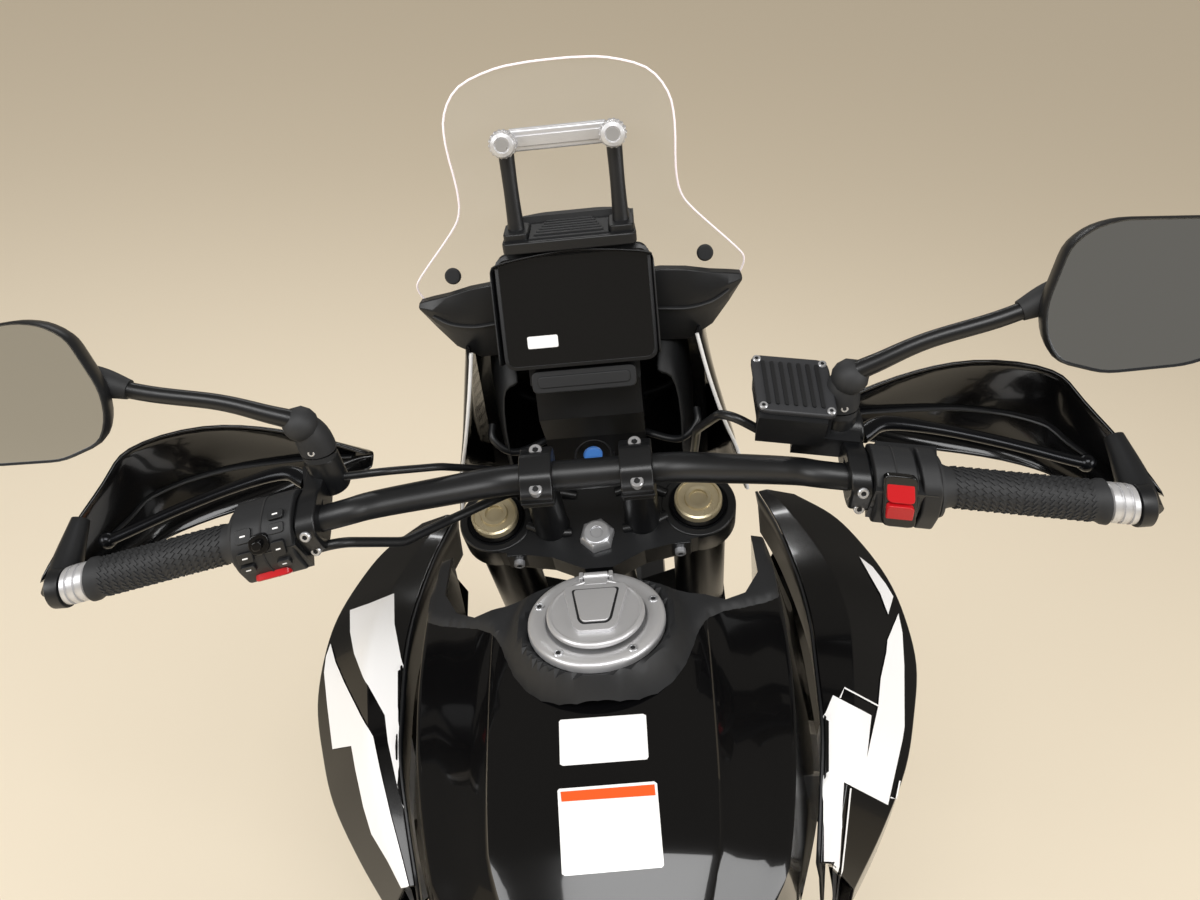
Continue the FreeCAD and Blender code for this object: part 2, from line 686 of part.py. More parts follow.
# Mirrors
mirror_line = [mirror_base + UP * D.seat_gap, mirror_base + UP * 40, steer(1008, 280, 1272),
               steer(1004, 374, 1298)]
mirror_stem = tube("mirror_stem", mirror_line, "7", bend=26)
mirror_ball = primitive("Sphere", "mirror_ball", mirror_base + UP * 38, Radius="13")
piece("mirror_stems", both("mirror_stems_all", join("mirror_stem_all", mirror_stem, mirror_ball)), STEERING)
MIRROR_FACE = [(364, 1262), (352, 1300), (372, 1350), (400, 1358), (500, 1352), (528, 1330), (518, 1292),
               (480, 1258)]


def mirror_ring(x, shrink):
    middle_y, middle_z = 436, 1306
    ring = [steer(x + (z - middle_z) * 0.22, middle_y + (y - middle_y) * shrink,
                  middle_z + (z - middle_z) * shrink)
            for y, z in MIRROR_FACE]
    return Part.makePolygon(ring + ring[:1])


mirror_head = lofted("mirror_head", [mirror_ring(984, 1.0), mirror_ring(992, 1.0),
                                     mirror_ring(1020, 0.62)], smooth=False)
piece("mirrors", both("mirrors_all", cut("mirror_cut", mirror_head,
                                         tube("mirror_stem_room", mirror_line, "7 + seat_gap",
                                              bend=26))), STEERING)


# Frame, in the upright frame

def sides(name, shape):
    """A shape fused with its mirror image."""
    return join(name, shape, mirrored(name + "_right", shape))


def span(name, x, y, z):
    """A box between two places on each axis."""
    middle = Vector((x[0] + x[1]) / 2, (y[0] + y[1]) / 2, (z[0] + z[1]) / 2)
    return block(name, middle, x[1] - x[0], y[1] - y[0], z[1] - z[0])


PIVOT = Vector(D.pivot_x, 0, D.pivot_z)
half = D.spar_half
head_low = STEERING.multVec(UP * (D.lower_yoke_bottom + D.yoke_height + 8))
head_high = STEERING.multVec(UP * (D.upper_yoke_bottom - 6))
head_tube = rod("head_tube", head_low, head_high, "head_tube_radius")
head_bore = rod("head_bore", STEERING.multVec(UP * 900), STEERING.multVec(UP * 1150),
                "stem_radius + running_gap")
spar = tube("main_spar", points((1148, 12, 930), (1085, 38, 872), (1010, 125, 785), (880, half, 765),
                                (700, half, 690),
                                (620, half, 520), (600, half, 330)), "frame_tube + 4", bend=80)
down_tube = tube("down_tube", points((1165, 14, 905), (1085, 58, 790), (1045, 120, 570), (1005, half, 300),
                                     (960, half, 262), (700, half, 262), (600, half,
                                             330)), "frame_tube", bend=70)
pivot_plate = span("pivot_plate", (550, 620), (D.plate_inner, D.plate_inner + 22), (315, 505))
rear_engine_lug = span("rear_engine_lug", (622, 680), (105.2, half), (493, 537))
front_engine_lug = span("front_engine_lug", (940, 1010), (105.2, half), (360, 400))
tank_pad = span("tank_pad", (900, 940), (108, 138), (772, 790.6))
upper_seat_lug = span("upper_seat_lug", (725, 765), (half - 16, half + 8), (700, 768))
lower_seat_lug = span("lower_seat_lug", (570, 612), (half - 16, half + 8), (495, 545))
stand_pivot = Vector(D.stand_pivot_x, D.stand_pivot_y, D.stand_pivot_z)
STAND_AXIS = Vector(0, 0.952, 0.307).normalize()
stand_boss = rod("stand_boss", stand_pivot - STAND_AXIS * 28, stand_pivot - STAND_AXIS * 6.5, "15")
stand_pin = rod("stand_pin", stand_pivot - STAND_AXIS * 20, stand_pivot + STAND_AXIS * 9, "6")
stand_head = rod("stand_head", stand_pivot + STAND_AXIS * 6.5, stand_pivot + STAND_AXIS * 11, "11")
RADIATOR_TURN = Rotation(LEFT, 12)
RADIATOR = Vector(1128, 0, 660)
radiator_stub = block("radiator_stub", RADIATOR + RADIATOR_TURN.multVec(Vector(-42.2, 90, -10)), "50",
                      "16", "24", RADIATOR_TURN)
frame_side = join("frame_side", spar, down_tube, pivot_plate, rear_engine_lug, front_engine_lug, tank_pad,
                  upper_seat_lug, lower_seat_lug, radiator_stub)
pivot_bolt = across("pivot_bolt", PIVOT.x, PIVOT.z, -half - 16, half + 16, "pivot_radius")
shock_tube = across("shock_tube", 690, 672, -half, half, "14")
beam = block("front_beam", Vector((20 + 139.8) / 2, 0, 1061), 139.8 - 20, "36", "48")
moved_beam = moved(group("front_beam_placed", beam), STEERING.Base, STEERING.Rotation)
frame_solid = join("frame_solid", head_tube, sides("frame_sides", frame_side), pivot_bolt, shock_tube,
                   moved_beam,
                   stand_boss, stand_pin, stand_head)
piece("main_frame", cut("frame_bored", frame_solid, head_bore))

rail = tube("seat_rail", points((724.8, half - 6, 752), (710, half - 6, 752), (640, 115, 785),
                                (500, 105, 790), (120, 90, 850), (0, 88, 872),
                                (-70, 86, 885)), "subframe_tube", bend=110)
stay = tube("seat_stay", points((569.8, half - 6, 520), (545, half - 6, 520), (450, 110, 650),
                                (230, 95, 826)), "subframe_tube", bend=110)
rail_tie = span("rail_tie", (25, 55), (-90, 90), (846.2, 862))
rail_end = span("rail_end", (-72, -60), (-88, 88), (875, 895))
piece("subframe", join("subframe_all", sides("rail_sides", join("rail_side", rail, stay)), rail_tie,
                       rail_end))

# Engine, exhaust and cooling
crankcase = padded("crankcase", [("628", "310"), ("650", "290"), ("900", "290"), ("972", "350"),
                                 ("980", "470"),
                                 ("927.6", "548.6"), ("772.4", "587.4"), ("660", "560"), ("628",
                                         "470")], "XZ_Plane", "210")
clutch_cover = across("clutch_cover", 748, 385, -150, -104, "86")
alternator_cover = across("alternator_cover", 860, 382, 104, 145, "78")
sprocket_room = span("sprocket_room", (590, 694), (84, 120), (346, 462))
piece("engine_crankcase", cut("crankcase_cut",
                              join("crankcase_all", crankcase, clutch_cover,
                                   alternator_cover), sprocket_room))
bank = Rotation(LEFT, 14)
deck = Vector(850, 0, 568)


def banked(name, along, rise, length, width, height):
    """A box square to the cylinders, from a height above the deck."""
    middle = deck + bank.multVec(Vector(along, 0, D.seat_gap + rise + height / 2))
    return block(name, middle, length, width, height, bank)


cylinder_block = banked("cylinder_block", 0, 0, 146, 190, 148)
cylinder_head = banked("cylinder_head", 0, 146, 165, 196, 74)
piece("engine_cylinders", join("engine_cylinders_all", cylinder_block, cylinder_head))

port = deck + bank.multVec(Vector(82.5 + D.seat_gap, 0, 185))
port_way = bank.multVec(AHEAD)
muffler_front = Vector(430, -177, 445)
muffler_rear = Vector(-60, -205, 700)
muffler_way = (muffler_rear - muffler_front).normalize()
left_pipe = tube("left_pipe", [port + LEFT * 38, port + LEFT * 38 + port_way * 52]
                 + points((1031, 36, 480), (1006, 0, 320), (950, -46, 266.5), (700, -60, 266.5),
                          (600, -90, 268), (546, -158, 294))
                 + [muffler_front - muffler_way * 92, muffler_front - muffler_way * 0.2], "19", bend=70)
right_pipe = tube("right_pipe", [port - LEFT * 38, port - LEFT * 38 + port_way * 52]
                  + points((1030, -42, 480), (1008, -50, 330), (935, -48, 268)), "19", bend=70)
piece("exhaust_header", join("exhaust_header_all", left_pipe, right_pipe))
muffler_body = rod("muffler_body", muffler_front + muffler_way * 30, muffler_rear - muffler_way * 12, "48")
muffler_cone = primitive("Cone", "muffler_cone", muffler_front, Rotation(UP, muffler_way), Radius1="25",
                         Radius2="48", Height="30")
muffler_tail = primitive("Cone", "muffler_tail", muffler_rear - muffler_way * 12,
                         Rotation(UP, muffler_way), Radius1="48", Radius2="40", Height="12")
outlet = rod("muffler_outlet", muffler_rear - muffler_way * 30, muffler_rear + muffler_way * 5, "22")
muffler_strap = span("muffler_strap", (118, 146), (-172, -138.4), (560, 640))
muffler_hanger = span("muffler_hanger", (118, 146), (-150, -138.4), (600, 800))
piece("muffler", cut("muffler_cut", join("muffler_all", muffler_body, muffler_cone, muffler_tail,
                                         muffler_strap, muffler_hanger), outlet))
piece("radiator", block("radiator_core", RADIATOR, "34", "300", "180", RADIATOR_TURN))
piece("skid_plate", padded("skid_plate_pad",
                           [("640", "239.8"), ("975", "239.8"), ("1066", "322"), ("1074", "420"),
                            ("1067", "421"),
                                              ("1059", "325"), ("972", "245.8"), ("640",
                                                      "245.8")], "XZ_Plane", "270"))

# Tank
STATIONS = [
    # x, crown height, half width and height of the crown's edge and of the outer edge, belly half width
    # and height, floor height
    (730, 938, 68, 931, 96, 905, 100, 852, 812),
    (800, 975, 90, 966, 142, 930, 150, 858, 800),
    (920, 1006, 97, 998, 166, 966, 190, 862, 795),
    (1043, 1030, 99, 1023, 172, 992, 200, 872, 850),
    (1125, 1036, 99, 1029, 166, 1004, 196, 905, 885),
]


def tank_section(station, grow=0):
    x, crown, crown_half, crown_edge, outer_half, outer_edge, belly_half, belly, floor = station
    low = Vector(x, belly_half * 0.7, floor)
    corners = [low, Vector(x, belly_half + grow, belly), Vector(x, outer_half + grow, outer_edge + grow),
               Vector(x, crown_half + grow / 2, crown_edge + grow)]
    left = [Part.LineSegment(start, end).toShape() for start, end in zip(corners, corners[1:])]
    opposite = [Vector(point.x, -point.y, point.z) for point in corners]
    right = [Part.LineSegment(start, end).toShape() for start, end in zip(opposite[::-1], opposite[-2::-1])]
    top = Part.Arc(corners[-1], Vector(x, 0, crown + grow), opposite[-1]).toShape()
    base = Part.LineSegment(opposite[0], low).toShape()
    return Part.Wire(left + [top] + right + [base])


tank_shell = lofted("tank_shell", [tank_section(station) for station in STATIONS])
notch_half = [("-52", "14"), ("-58", "34"), ("-70", "60"), ("-78", "85"), ("-83", "118"), ("-72", "138"),
              ("-45", "154"), ("300", "154")]


def notch(name):
    """The room that the fork needs as it turns from stop to stop."""
    return moved(padded(name, across_middle(notch_half), "XY_Plane", "600", middle=False),
                 STEERING.multVec(UP * 780), STEERING.Rotation)


neck_hole = rod("neck_hole", Vector(D.cap_x, 0, D.cap_z - 60), Vector(D.cap_x, 0, D.cap_z + 30),
                "filler_bore_radius + 5 + seat_gap")
engine_tunnel = span("engine_tunnel", (680, 1180), (-104, 104), (745, 835))
spar_tunnel = span("spar_tunnel", (960, 1150), (-112, 112), (800, 927))
piece("fuel_tank", cut("fuel_tank_cut", tank_shell, notch("tank_notch"), neck_hole, engine_tunnel,
                       spar_tunnel))

console_shell = lofted("console_shell", [tank_section(station, D.console_rise) for station in STATIONS])
console_half = [("908", "20"), ("914", "44"), ("932", "66"), ("958", "84"), ("992", "96"), ("1014", "122"),
                ("1044", "176"), ("1124", "176")]
console_plan = padded("console_plan", across_middle(console_half), "XY_Plane", "200", middle=False)
moved(console_plan, UP * 900)
console_collar = rod("console_collar", Vector(D.cap_x, 0, D.cap_z - 25), Vector(D.cap_x, 0, D.cap_z + 3),
                     "filler_ring_radius + 16")
tank_copy = lofted("tank_copy", [tank_section(station, D.seat_gap) for station in STATIONS])
ring_hole = rod("ring_hole", Vector(D.cap_x, 0, D.cap_z - 60), Vector(D.cap_x, 0, D.cap_z + 30),
                "filler_ring_radius + seat_gap")
console_solid = join("console_solid", common("console_common", console_shell, console_plan), console_collar)
piece("tank_console", cut("console_cut", console_solid, tank_copy, notch("console_notch"), ring_hole))

# Filler: a ring with a neck into the tank, and a lid hinged ahead of the bore
ring_top = D.cap_z + D.ring_wall
HINGE = Vector(D.cap_x + 48, 0, ring_top + 5)
ring = rod("filler_ring_disc", Vector(D.cap_x, 0, D.cap_z), Vector(D.cap_x, 0, ring_top),
           "filler_ring_radius")
neck = rod("filler_neck", Vector(D.cap_x, 0, D.cap_z - 40), Vector(D.cap_x, 0, ring_top),
           "filler_bore_radius + 5")
neck_bore = rod("filler_neck_bore", Vector(D.cap_x, 0, ring_top - D.filler_bore_depth),
                Vector(D.cap_x, 0, ring_top + 20), "filler_bore_radius")
hinge_ear = span("hinge_ear", (HINGE.x - 4, HINGE.x + 5), (11.5, 16), (ring_top - 2, HINGE.z + 4))
hinge_pin = across("hinge_pin", HINGE.x, HINGE.z, -14, 14, "2.2")
piece("filler_ring", cut("filler_ring_cut",
                         join("filler_ring_solid", ring, neck, sides("hinge_ears", hinge_ear),
                              hinge_pin), neck_bore))
lid_bottom = ring_top + 0.6
lid_disc = rod("filler_lid_disc", Vector(D.cap_x, 0, lid_bottom),
               Vector(D.cap_x, 0, lid_bottom + D.lid_wall), "filler_lid_radius")
lid_knuckle = across("lid_knuckle", HINGE.x, HINGE.z, -11, 11, "4.2")
lid_arm = span("lid_arm", (HINGE.x - 12, HINGE.x), (-11, 11), (HINGE.z - 3.6, HINGE.z + 1.6))
lid_bore = across("lid_bore", HINGE.x, HINGE.z, -20, 20, "2.2 + seat_gap")
lid_ear_room = sides("lid_ear_rooms", span("lid_ear_room", (HINGE.x - 6, HINGE.x + 8), (11.2, 20),
                                           (ring_top - 3, HINGE.z + 6)))
piece("filler_lid", cut("filler_lid_cut", join("filler_lid_solid", lid_disc, lid_knuckle, lid_arm),
                        lid_bore, lid_ear_room))

SHROUD = [
    # x, inner y, its top, widest y, its height, lower y, its height, floor height
    (850, 177, 868, 205, 825, 200, 790, 770),
    (940, 196, 925, 272, 862, 262, 800, 720),
    (1050, 205, 950, 309, 888, 296, 800, 650),
    (1135, 202, 958, 300, 930, 280, 800, 640),
    (1232, 192, 955, 262, 945, 240, 840, 760),
]


def shroud_section(station):
    x, inner, top, widest, widest_z, lower, lower_z, floor = station
    ring = points((x, inner, top), (x, widest, widest_z), (x, lower, lower_z), (x, inner + 8, floor),
                  (x, inner, floor))
    return Part.makePolygon(ring + ring[:1])


shroud = lofted("shroud", [shroud_section(station) for station in SHROUD], smooth=False)
shroud_boss = across("shroud_boss", 1043, 872, 200.9, 214, "9")
shroud_all = join("shroud_all", shroud, shroud_boss)
piece("shroud_left", group("shroud_left_all", shroud_all))
piece("shroud_right", mirrored("shroud_mirrored", shroud_all))
stalk = across("front_indicator_stalk", 1188, 838, 264.9, 284, "7")
front_lamp = block("front_indicator_lamp", Vector(1188, 300, 838), "52", "34", "26")
piece("front_indicators", both("front_indicators_all", join("front_indicator", stalk, front_lamp)))

# Seats, tail and rack
seat_side = padded("rider_seat_side", [("729.8", "802.7"), ("729.8", "922"), ("700", "884"),
                                       ("560", "855"), ("440", "862"), ("400", "900"),
                                       ("395", "819.5"), ("500", "802.7")], "XZ_Plane", "260")
seat_plan = padded("rider_seat_plan", across_middle([("390", "125.8"), ("560", "125.8"), ("660", "112"),
                                                     ("735", "92")]), "XY_Plane", "200", middle=False)
moved(seat_plan, UP * 760)
piece("rider_seat", common("rider_seat_all", seat_side, seat_plan))
pillion = padded("passenger_seat_block", [("394.6", "819.2"), ("398", "908"), ("330", "925"),
                                          ("120", "930"), ("80", "915"), ("96", "868")], "XZ_Plane", "220")
piece("passenger_seat", pillion)
tail_side = padded("tail_side", [("606", "704"), ("616", "776"), ("420", "812"), ("120", "862"),
                                 ("-60", "890"), ("-60", "850"), ("120", "790"),
                                 ("420", "720")], "XZ_Plane", "12")
moved(tail_side, Vector(0, 132, 0))
tail_spacer = span("tail_spacer", (190, 220), (109, 128), (832, 846))
piece("tail_panels", both("tail_panels_all", join("tail_panel", tail_side, tail_spacer)))
rack_plate = block("rack_plate", Vector(-40, 0, 940), "220", "200", "8")
rack_leg = rod("rack_leg", Vector(-10, 86, 887.6), Vector(-10, 86, 938), "8")
rack_rail = tube("rack_rail", points((330, 149.4, 812), (312, 149.4, 868), (240, 150, 908), (60, 130, 934),
                                     (-160, 92, 938)), "11", bend=60)
piece("luggage_rack", join("luggage_rack_all", rack_plate,
                           sides("rack_sides", join("rack_side", rack_leg, rack_rail))))
fender = padded("rear_fender_plate", [("60", "846"), ("-100", "846"), ("-322", "560"), ("-316", "555"),
                                      ("-94", "838"), ("60", "838")], "XZ_Plane", "160")
piece("rear_fender", fender)
piece("tail_lamp", span("tail_lamp_block", (-130, -72.2), (-55, 55), (870, 902)))

# Front bodywork, lamp, screen and display
column_low = STEERING.multVec(Vector(140, 0, 1035))
column_bend = STEERING.multVec(Vector(140, 0, 1120))
column = padded("dash_column", [(column_low.x, column_low.z), ("1300", column_low.z), ("1300", "1190"),
                                ("1228", "1190"), ("1215", "1110"),
                                (column_bend.x, column_bend.z)], "XZ_Plane", "110")
DISPLAY_TURN = Rotation(LEFT, 20)
DISPLAY = Vector(1212, 0, 1236)
tower = block("dash_back", DISPLAY + DISPLAY_TURN.multVec(Vector(13.2 + 15, 0, 8)), "30", "112", "166",
              DISPLAY_TURN)
post_base = span("post_base", (1212, 1276), (-62, 62), (1299, 1309))
piece("dash_tower", join("dash_tower_all", column, tower, post_base))
piece("instrument_display", block("display_block", DISPLAY, "26", "145", "112", DISPLAY_TURN))
post_foot, post_top = Vector(1226, 50, 1309.9), Vector(1236, 50, 1403)
post = rod("post", post_foot, post_top, "6")
post_stub = rod("post_stub", Vector(1235, 50, 1385), Vector(1263.4, 50, 1385), "5")
piece("screen_posts", both("screen_posts_all", join("post_all", post, post_stub)))
knob = rod("knob", Vector(1212, 50, 1397), Vector(1227.8, 50, 1397), "12")
knob_bar = span("knob_bar", (1227.6, 1241), (-43.8, 43.8), (1386, 1408))
piece("screen_knobs", group("screen_knobs_all", knob, mirrored("knob_right", knob), knob_bar))

COWL = [
    # x, half width, bottom, top
    (1300.3, 128, 985, 1195),
    (1335, 122, 970, 1200),
    (1372, 100, 976, 1156),
]
LAMP = [
    (1372.2, 94, 984, 1140),
    (1396, 86, 992, 1122),
    (1410, 60, 1012, 1100),
]


def box_ring(station):
    x, half_width, low, high = station
    ring = points((x, half_width, low), (x, half_width, high), (x, -half_width, high), (x, -half_width, low))
    return Part.makePolygon(ring + ring[:1])


cowl_shell = lofted("cowl_shell", [box_ring(station) for station in COWL], smooth=False)
wing = padded("wing_pad", [("57.5", "1178"), ("110", "1173"), ("142", "1198"), ("166", "1234"),
                           ("100", "1250"), ("57.5", "1246")],
              "YZ_Plane", "26", middle=False)
moved(wing, Vector(1258, 0, 0))
wing_root = span("wing_root", (1258, 1304), (60, 110), (1174, 1194))
wing_mount = rod("wing_mount", Vector(1283, 140, 1222), Vector(1302.2, 140, 1222), "6")
piece("fairing_cowl", join("fairing_cowl_all", cowl_shell,
                           sides("wings", join("wing", wing, wing_root, wing_mount))))
piece("headlamp", lofted("headlamp_shell", [box_ring(station) for station in LAMP], smooth=False))

SCREEN = [
    # height, x of the middle, x of the edge, half width
    (1215, 1325, 1305, 150),
    (1243, 1318, 1290, 168),
    (1318, 1290, 1270, 110),
    (1407, 1262, 1246, 106),
    (1462, 1240, 1236, 60),
]


def screen_section(station, wall):
    height, middle, edge, half_width = station
    rear = Part.Arc(Vector(edge, -half_width, height), Vector(middle, 0, height),
                    Vector(edge, half_width, height)).toShape()
    front = Part.Arc(Vector(edge + wall, half_width, height), Vector(middle + wall, 0, height),
                     Vector(edge + wall, -half_width, height)).toShape()
    return Part.Wire([rear, Part.LineSegment(Vector(edge, half_width, height),
                                             Vector(edge + wall, half_width, height)).toShape(), front,
                      Part.LineSegment(Vector(edge + wall, -half_width, height),
                                       Vector(edge, -half_width, height)).toShape()])


piece("windscreen", lofted("windscreen_sheet",
                           [screen_section(station, D.screen_wall) for station in SCREEN], smooth=False))


# Swingarm, chain, shock and rear brake
ARM = [
    # x, inner y, bottom, top
    (612, 88, 380, 420),
    (520, 88, 372, 424),
    (400, 112, 362, 420),
    (-45, 112, 306, 362),
]


def arm_ring(station):
    x, inner, low, high = station
    ring = points((x, inner, low), (x, inner + D.arm_wall, low), (x, inner + D.arm_wall, high),
                  (x, inner, high))
    return Part.makePolygon(ring + ring[:1])


arm_beam = lofted("arm_beam", [arm_ring(station) for station in ARM], smooth=False)
arm_cross = span("arm_cross", (430, 500), (-108, 108), (366, 416))
axle_hole = across("arm_axle_hole", REAR_AXLE.x, REAR_AXLE.z, -200, 200, "rear_axle_radius + seat_gap")
pivot_hole = across("arm_pivot_hole", PIVOT.x, PIVOT.z, -200, 200, "pivot_radius + seat_gap")
piece("swingarm", cut("swingarm_cut", join("swingarm_solid", sides("arm_sides", arm_beam), arm_cross),
                      axle_hole, pivot_hole))
piece("rear_axle", across("rear_axle_rod", REAR_AXLE.x, REAR_AXLE.z, -150, 150, "rear_axle_radius"))

shock_foot, shock_head = Vector(465, 0, 430.2), Vector(690, 0, 672)
shock_way = (shock_head - shock_foot).normalize()
shock_length = (shock_head - shock_foot).Length
shock_eye = across("shock_eye", shock_foot.x, shock_foot.z, -18, 18, "14")
shock_rod = rod("shock_rod", shock_foot, shock_foot + shock_way * (shock_length - 14.2), "11")
shock_spring = rod("shock_spring", shock_foot + shock_way * 42, shock_foot + shock_way * 265, "31")
piece("rear_shock", join("rear_shock_all", shock_eye, shock_rod, shock_spring))

rear_caliper_way = Vector(0.951, 0, 0.309)
REAR_CALIPER_TURN = Rotation(AHEAD, rear_caliper_way)
rear_caliper_block = block("rear_caliper_block", REAR_AXLE + rear_caliper_way * 118 - LEFT * 84, "62",
                           "40", "84", REAR_CALIPER_TURN)
rear_caliper_slot = block("rear_caliper_slot", REAR_AXLE + rear_caliper_way * 66 - LEFT * D.rear_disc_y,
                          "2 * (rear_disc_radius - 66) + 14",
                          "disc_wall + 2 * pad_gap", "120", REAR_CALIPER_TURN)
rear_caliper_lug = span("rear_caliper_lug", (86, 136), (-111.8, -100), (345, 375))
piece("rear_caliper", join("rear_caliper_all",
                           cut("rear_caliper_cut", rear_caliper_block,
                               rear_caliper_slot), rear_caliper_lug))

SPROCKET = Vector(642, 0, 402)
chain_radii = [D.chain_pitch / (2 * math.sin(math.pi / teeth)) for teeth in (D.sprocket_teeth,
        D.front_sprocket_teeth)]


def belt(name, grow):
    """The outline round both sprockets at a distance outside the chain's pitch line, as a slab."""
    rear, front = [radius + grow for radius in chain_radii]
    gap = SPROCKET - REAR_AXLE
    along = Vector(gap).normalize()
    square = Vector(-along.z, 0, along.x)
    tilt = (rear - front) / gap.Length
    upper = square * math.sqrt(1 - tilt ** 2) + along * tilt
    lower = square * -math.sqrt(1 - tilt ** 2) + along * tilt
    corners = [(REAR_AXLE + upper * rear, rear), (REAR_AXLE - along * rear, rear),
               (REAR_AXLE + lower * rear, None),
               (SPROCKET + lower * front, front), (SPROCKET + along * front,
                                                   front), (SPROCKET + upper * front, None)]
    outline = [(point.x, point.z) if radius is None else (point.x, point.z, radius) for point,
               radius in corners]
    return moved(padded(name, outline, "XZ_Plane", "16"), LEFT * D.sprocket_y)


chain_loop = cut("chain_loop", belt("chain_outside", 8), belt("chain_inside", -8))
front_sprocket = across("front_sprocket", SPROCKET.x, SPROCKET.z, 84.2, D.sprocket_y + 4,
                        chain_radii[1] - 8.2)
piece("drive_chain", group("drive_chain_all", chain_loop, front_sprocket))

peg_plate = span("peg_plate", (592, 672), (half + 20.2, half + 30), (312, 424))
peg = across("peg", 656, 332, half + 30, 242, "12")
piece("foot_pegs", both("foot_pegs_all", join("foot_peg", peg, peg_plate)))

# Side stand
floor_height = math.tan(math.radians(D.lean_angle)) * D.stand_foot_y
stand_foot = Vector(D.stand_foot_x, D.stand_foot_y, floor_height)
stand_end = stand_foot + Vector(0, 0, 12)
stand_way = (stand_end - stand_pivot).normalize()
stand_eye = rod("stand_eye", stand_pivot - STAND_AXIS * 6, stand_pivot + STAND_AXIS * 6, "16")
stand_leg = rod("stand_leg", stand_pivot + stand_way * 13, stand_end, "12")
level = Rotation(AHEAD, D.lean_angle)
stand_pad = block("stand_pad", stand_foot + level.multVec(Vector(0, 0, 4)), "70", "50", "8", level)
stand_bore = rod("stand_bore", stand_pivot - STAND_AXIS * 30, stand_pivot + STAND_AXIS * 30,
                 "6 + running_gap")
stand_face = rod("stand_face", stand_pivot + STAND_AXIS * 6, stand_pivot + STAND_AXIS * 30, "19")
stand_back = rod("stand_back", stand_pivot - STAND_AXIS * 30, stand_pivot - STAND_AXIS * 6, "19")
piece("side_stand", cut("side_stand_cut", join("side_stand_all", stand_eye, stand_leg, stand_pad),
                        stand_bore, stand_face, stand_back))


# Leaning and placing
def finish():
    """Leans each piece over, sets the origin under the middle of the whole and writes the files."""
    doc.recompute()
    low = [math.inf, math.inf]
    high = [-math.inf, -math.inf]
    for shape, frame in finished:
        shape.Placement = LEAN * frame
    doc.recompute()
    for shape, frame in finished:
        if shape.Shape.isNull():
            continue
        box = shape.Shape.optimalBoundingBox(False, False)
        low = [min(low[0], box.XMin), min(low[1], box.YMin)]
        high = [max(high[0], box.XMax), max(high[1], box.YMax)]
    drop = max(D.front_crown, D.rear_crown) * (1 - math.cos(math.radians(D.lean_angle)))
    middle = Placement(Vector(-(low[0] + high[0]) / 2, -(low[1] + high[1]) / 2, drop), Rotation())
    for shape, frame in finished:
        shape.Placement = middle * LEAN * frame
    doc.recompute()
    print("moved by", middle.Base, "size", high[0] - low[0], high[1] - low[1])
    faults = []
    for item in doc.Objects:
        if "Invalid" in item.State or "Error" in item.State:
            faults.append(f"{item.Name} failed: {item.State}")
    for shape, frame in finished:
        if shape.Shape.isNull() or not shape.Shape.isValid():
            faults.append(f"{shape.Label} has no valid shape")
    if faults:
        raise RuntimeError("; ".join(faults))
    for shape, frame in finished:
        shape.Shape.exportStep(f"parts/{shape.Label}.step")


finish()
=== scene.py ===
"""An adventure motorcycle, seen from the rider's seat: its finishes, graphics, seats and small parts."""

import json
import math

import bmesh
import bpy
from mathutils import Matrix, Vector
from mathutils.bvhtree import BVHTree
from mathutils.geometry import delaunay_2d_cdt


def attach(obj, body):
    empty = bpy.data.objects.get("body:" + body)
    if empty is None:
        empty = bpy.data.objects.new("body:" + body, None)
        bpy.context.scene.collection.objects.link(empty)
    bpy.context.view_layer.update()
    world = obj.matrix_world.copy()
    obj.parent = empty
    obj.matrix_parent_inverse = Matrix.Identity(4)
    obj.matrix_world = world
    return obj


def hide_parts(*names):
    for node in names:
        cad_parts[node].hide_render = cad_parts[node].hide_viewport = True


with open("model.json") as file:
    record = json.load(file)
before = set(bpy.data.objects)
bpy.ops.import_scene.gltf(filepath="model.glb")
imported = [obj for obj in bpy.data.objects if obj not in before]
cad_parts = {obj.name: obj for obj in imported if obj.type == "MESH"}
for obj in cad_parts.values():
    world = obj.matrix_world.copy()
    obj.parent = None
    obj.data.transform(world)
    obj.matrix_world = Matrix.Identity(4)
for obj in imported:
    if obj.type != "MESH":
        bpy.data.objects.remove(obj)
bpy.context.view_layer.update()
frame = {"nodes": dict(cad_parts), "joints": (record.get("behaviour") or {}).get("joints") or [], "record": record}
MM = 0.001

# The motorcycle's own upright frame, found from its joints: x ahead of the rear axle, y to its left, z up
joints = {joint["name"]: joint for joint in frame["joints"]}
FRONT_WHEEL_RADIUS = 348
REAR_WHEEL_RADIUS = 334
WHEELBASE = 1505
RAKE = 26
STEM_X = 1610
ONWARD, ACROSS, UPWARD = (1, 0, 0), (0, 1, 0), (0, 0, 1)
ahead = Vector((1, 0, 0))
left = Vector(joints["rear_wheel_spin"]["axis"]).normalized()
up = ahead.cross(left)
ground = Vector(joints["rear_wheel_spin"]["pos_m"]) - up * REAR_WHEEL_RADIUS * MM


def bike(x, y, z):
    """A place on the upright motorcycle, in mm, as a point in metres of the leaning one."""
    return ground + (ahead * x + left * y + up * z) * MM


def bike_way(x, y, z):
    """A direction on the upright motorcycle."""
    return ahead * x + left * y + up * z


def steer(d, y, s):
    """A place in the fork's frame: d ahead of the steering axis, y to the left, s up along it."""
    rake = math.radians(RAKE)
    return bike(STEM_X + d * math.cos(rake) - s * math.sin(rake), y, d * math.sin(rake) + s * math.cos(rake))


# The camera that took the photograph, on the upright motorcycle
CAMERA_PLACE = (328.9, -67.0, 1622.3)
CAMERA_PITCH = 31.97
CAMERA_YAW = 4.0
CAMERA_ROLL = -6.83
PHOTO_WIDTH = 1200
PHOTO_HEIGHT = 900
FOCAL_PIXELS = 974.9
SENSOR_WIDTH = 36


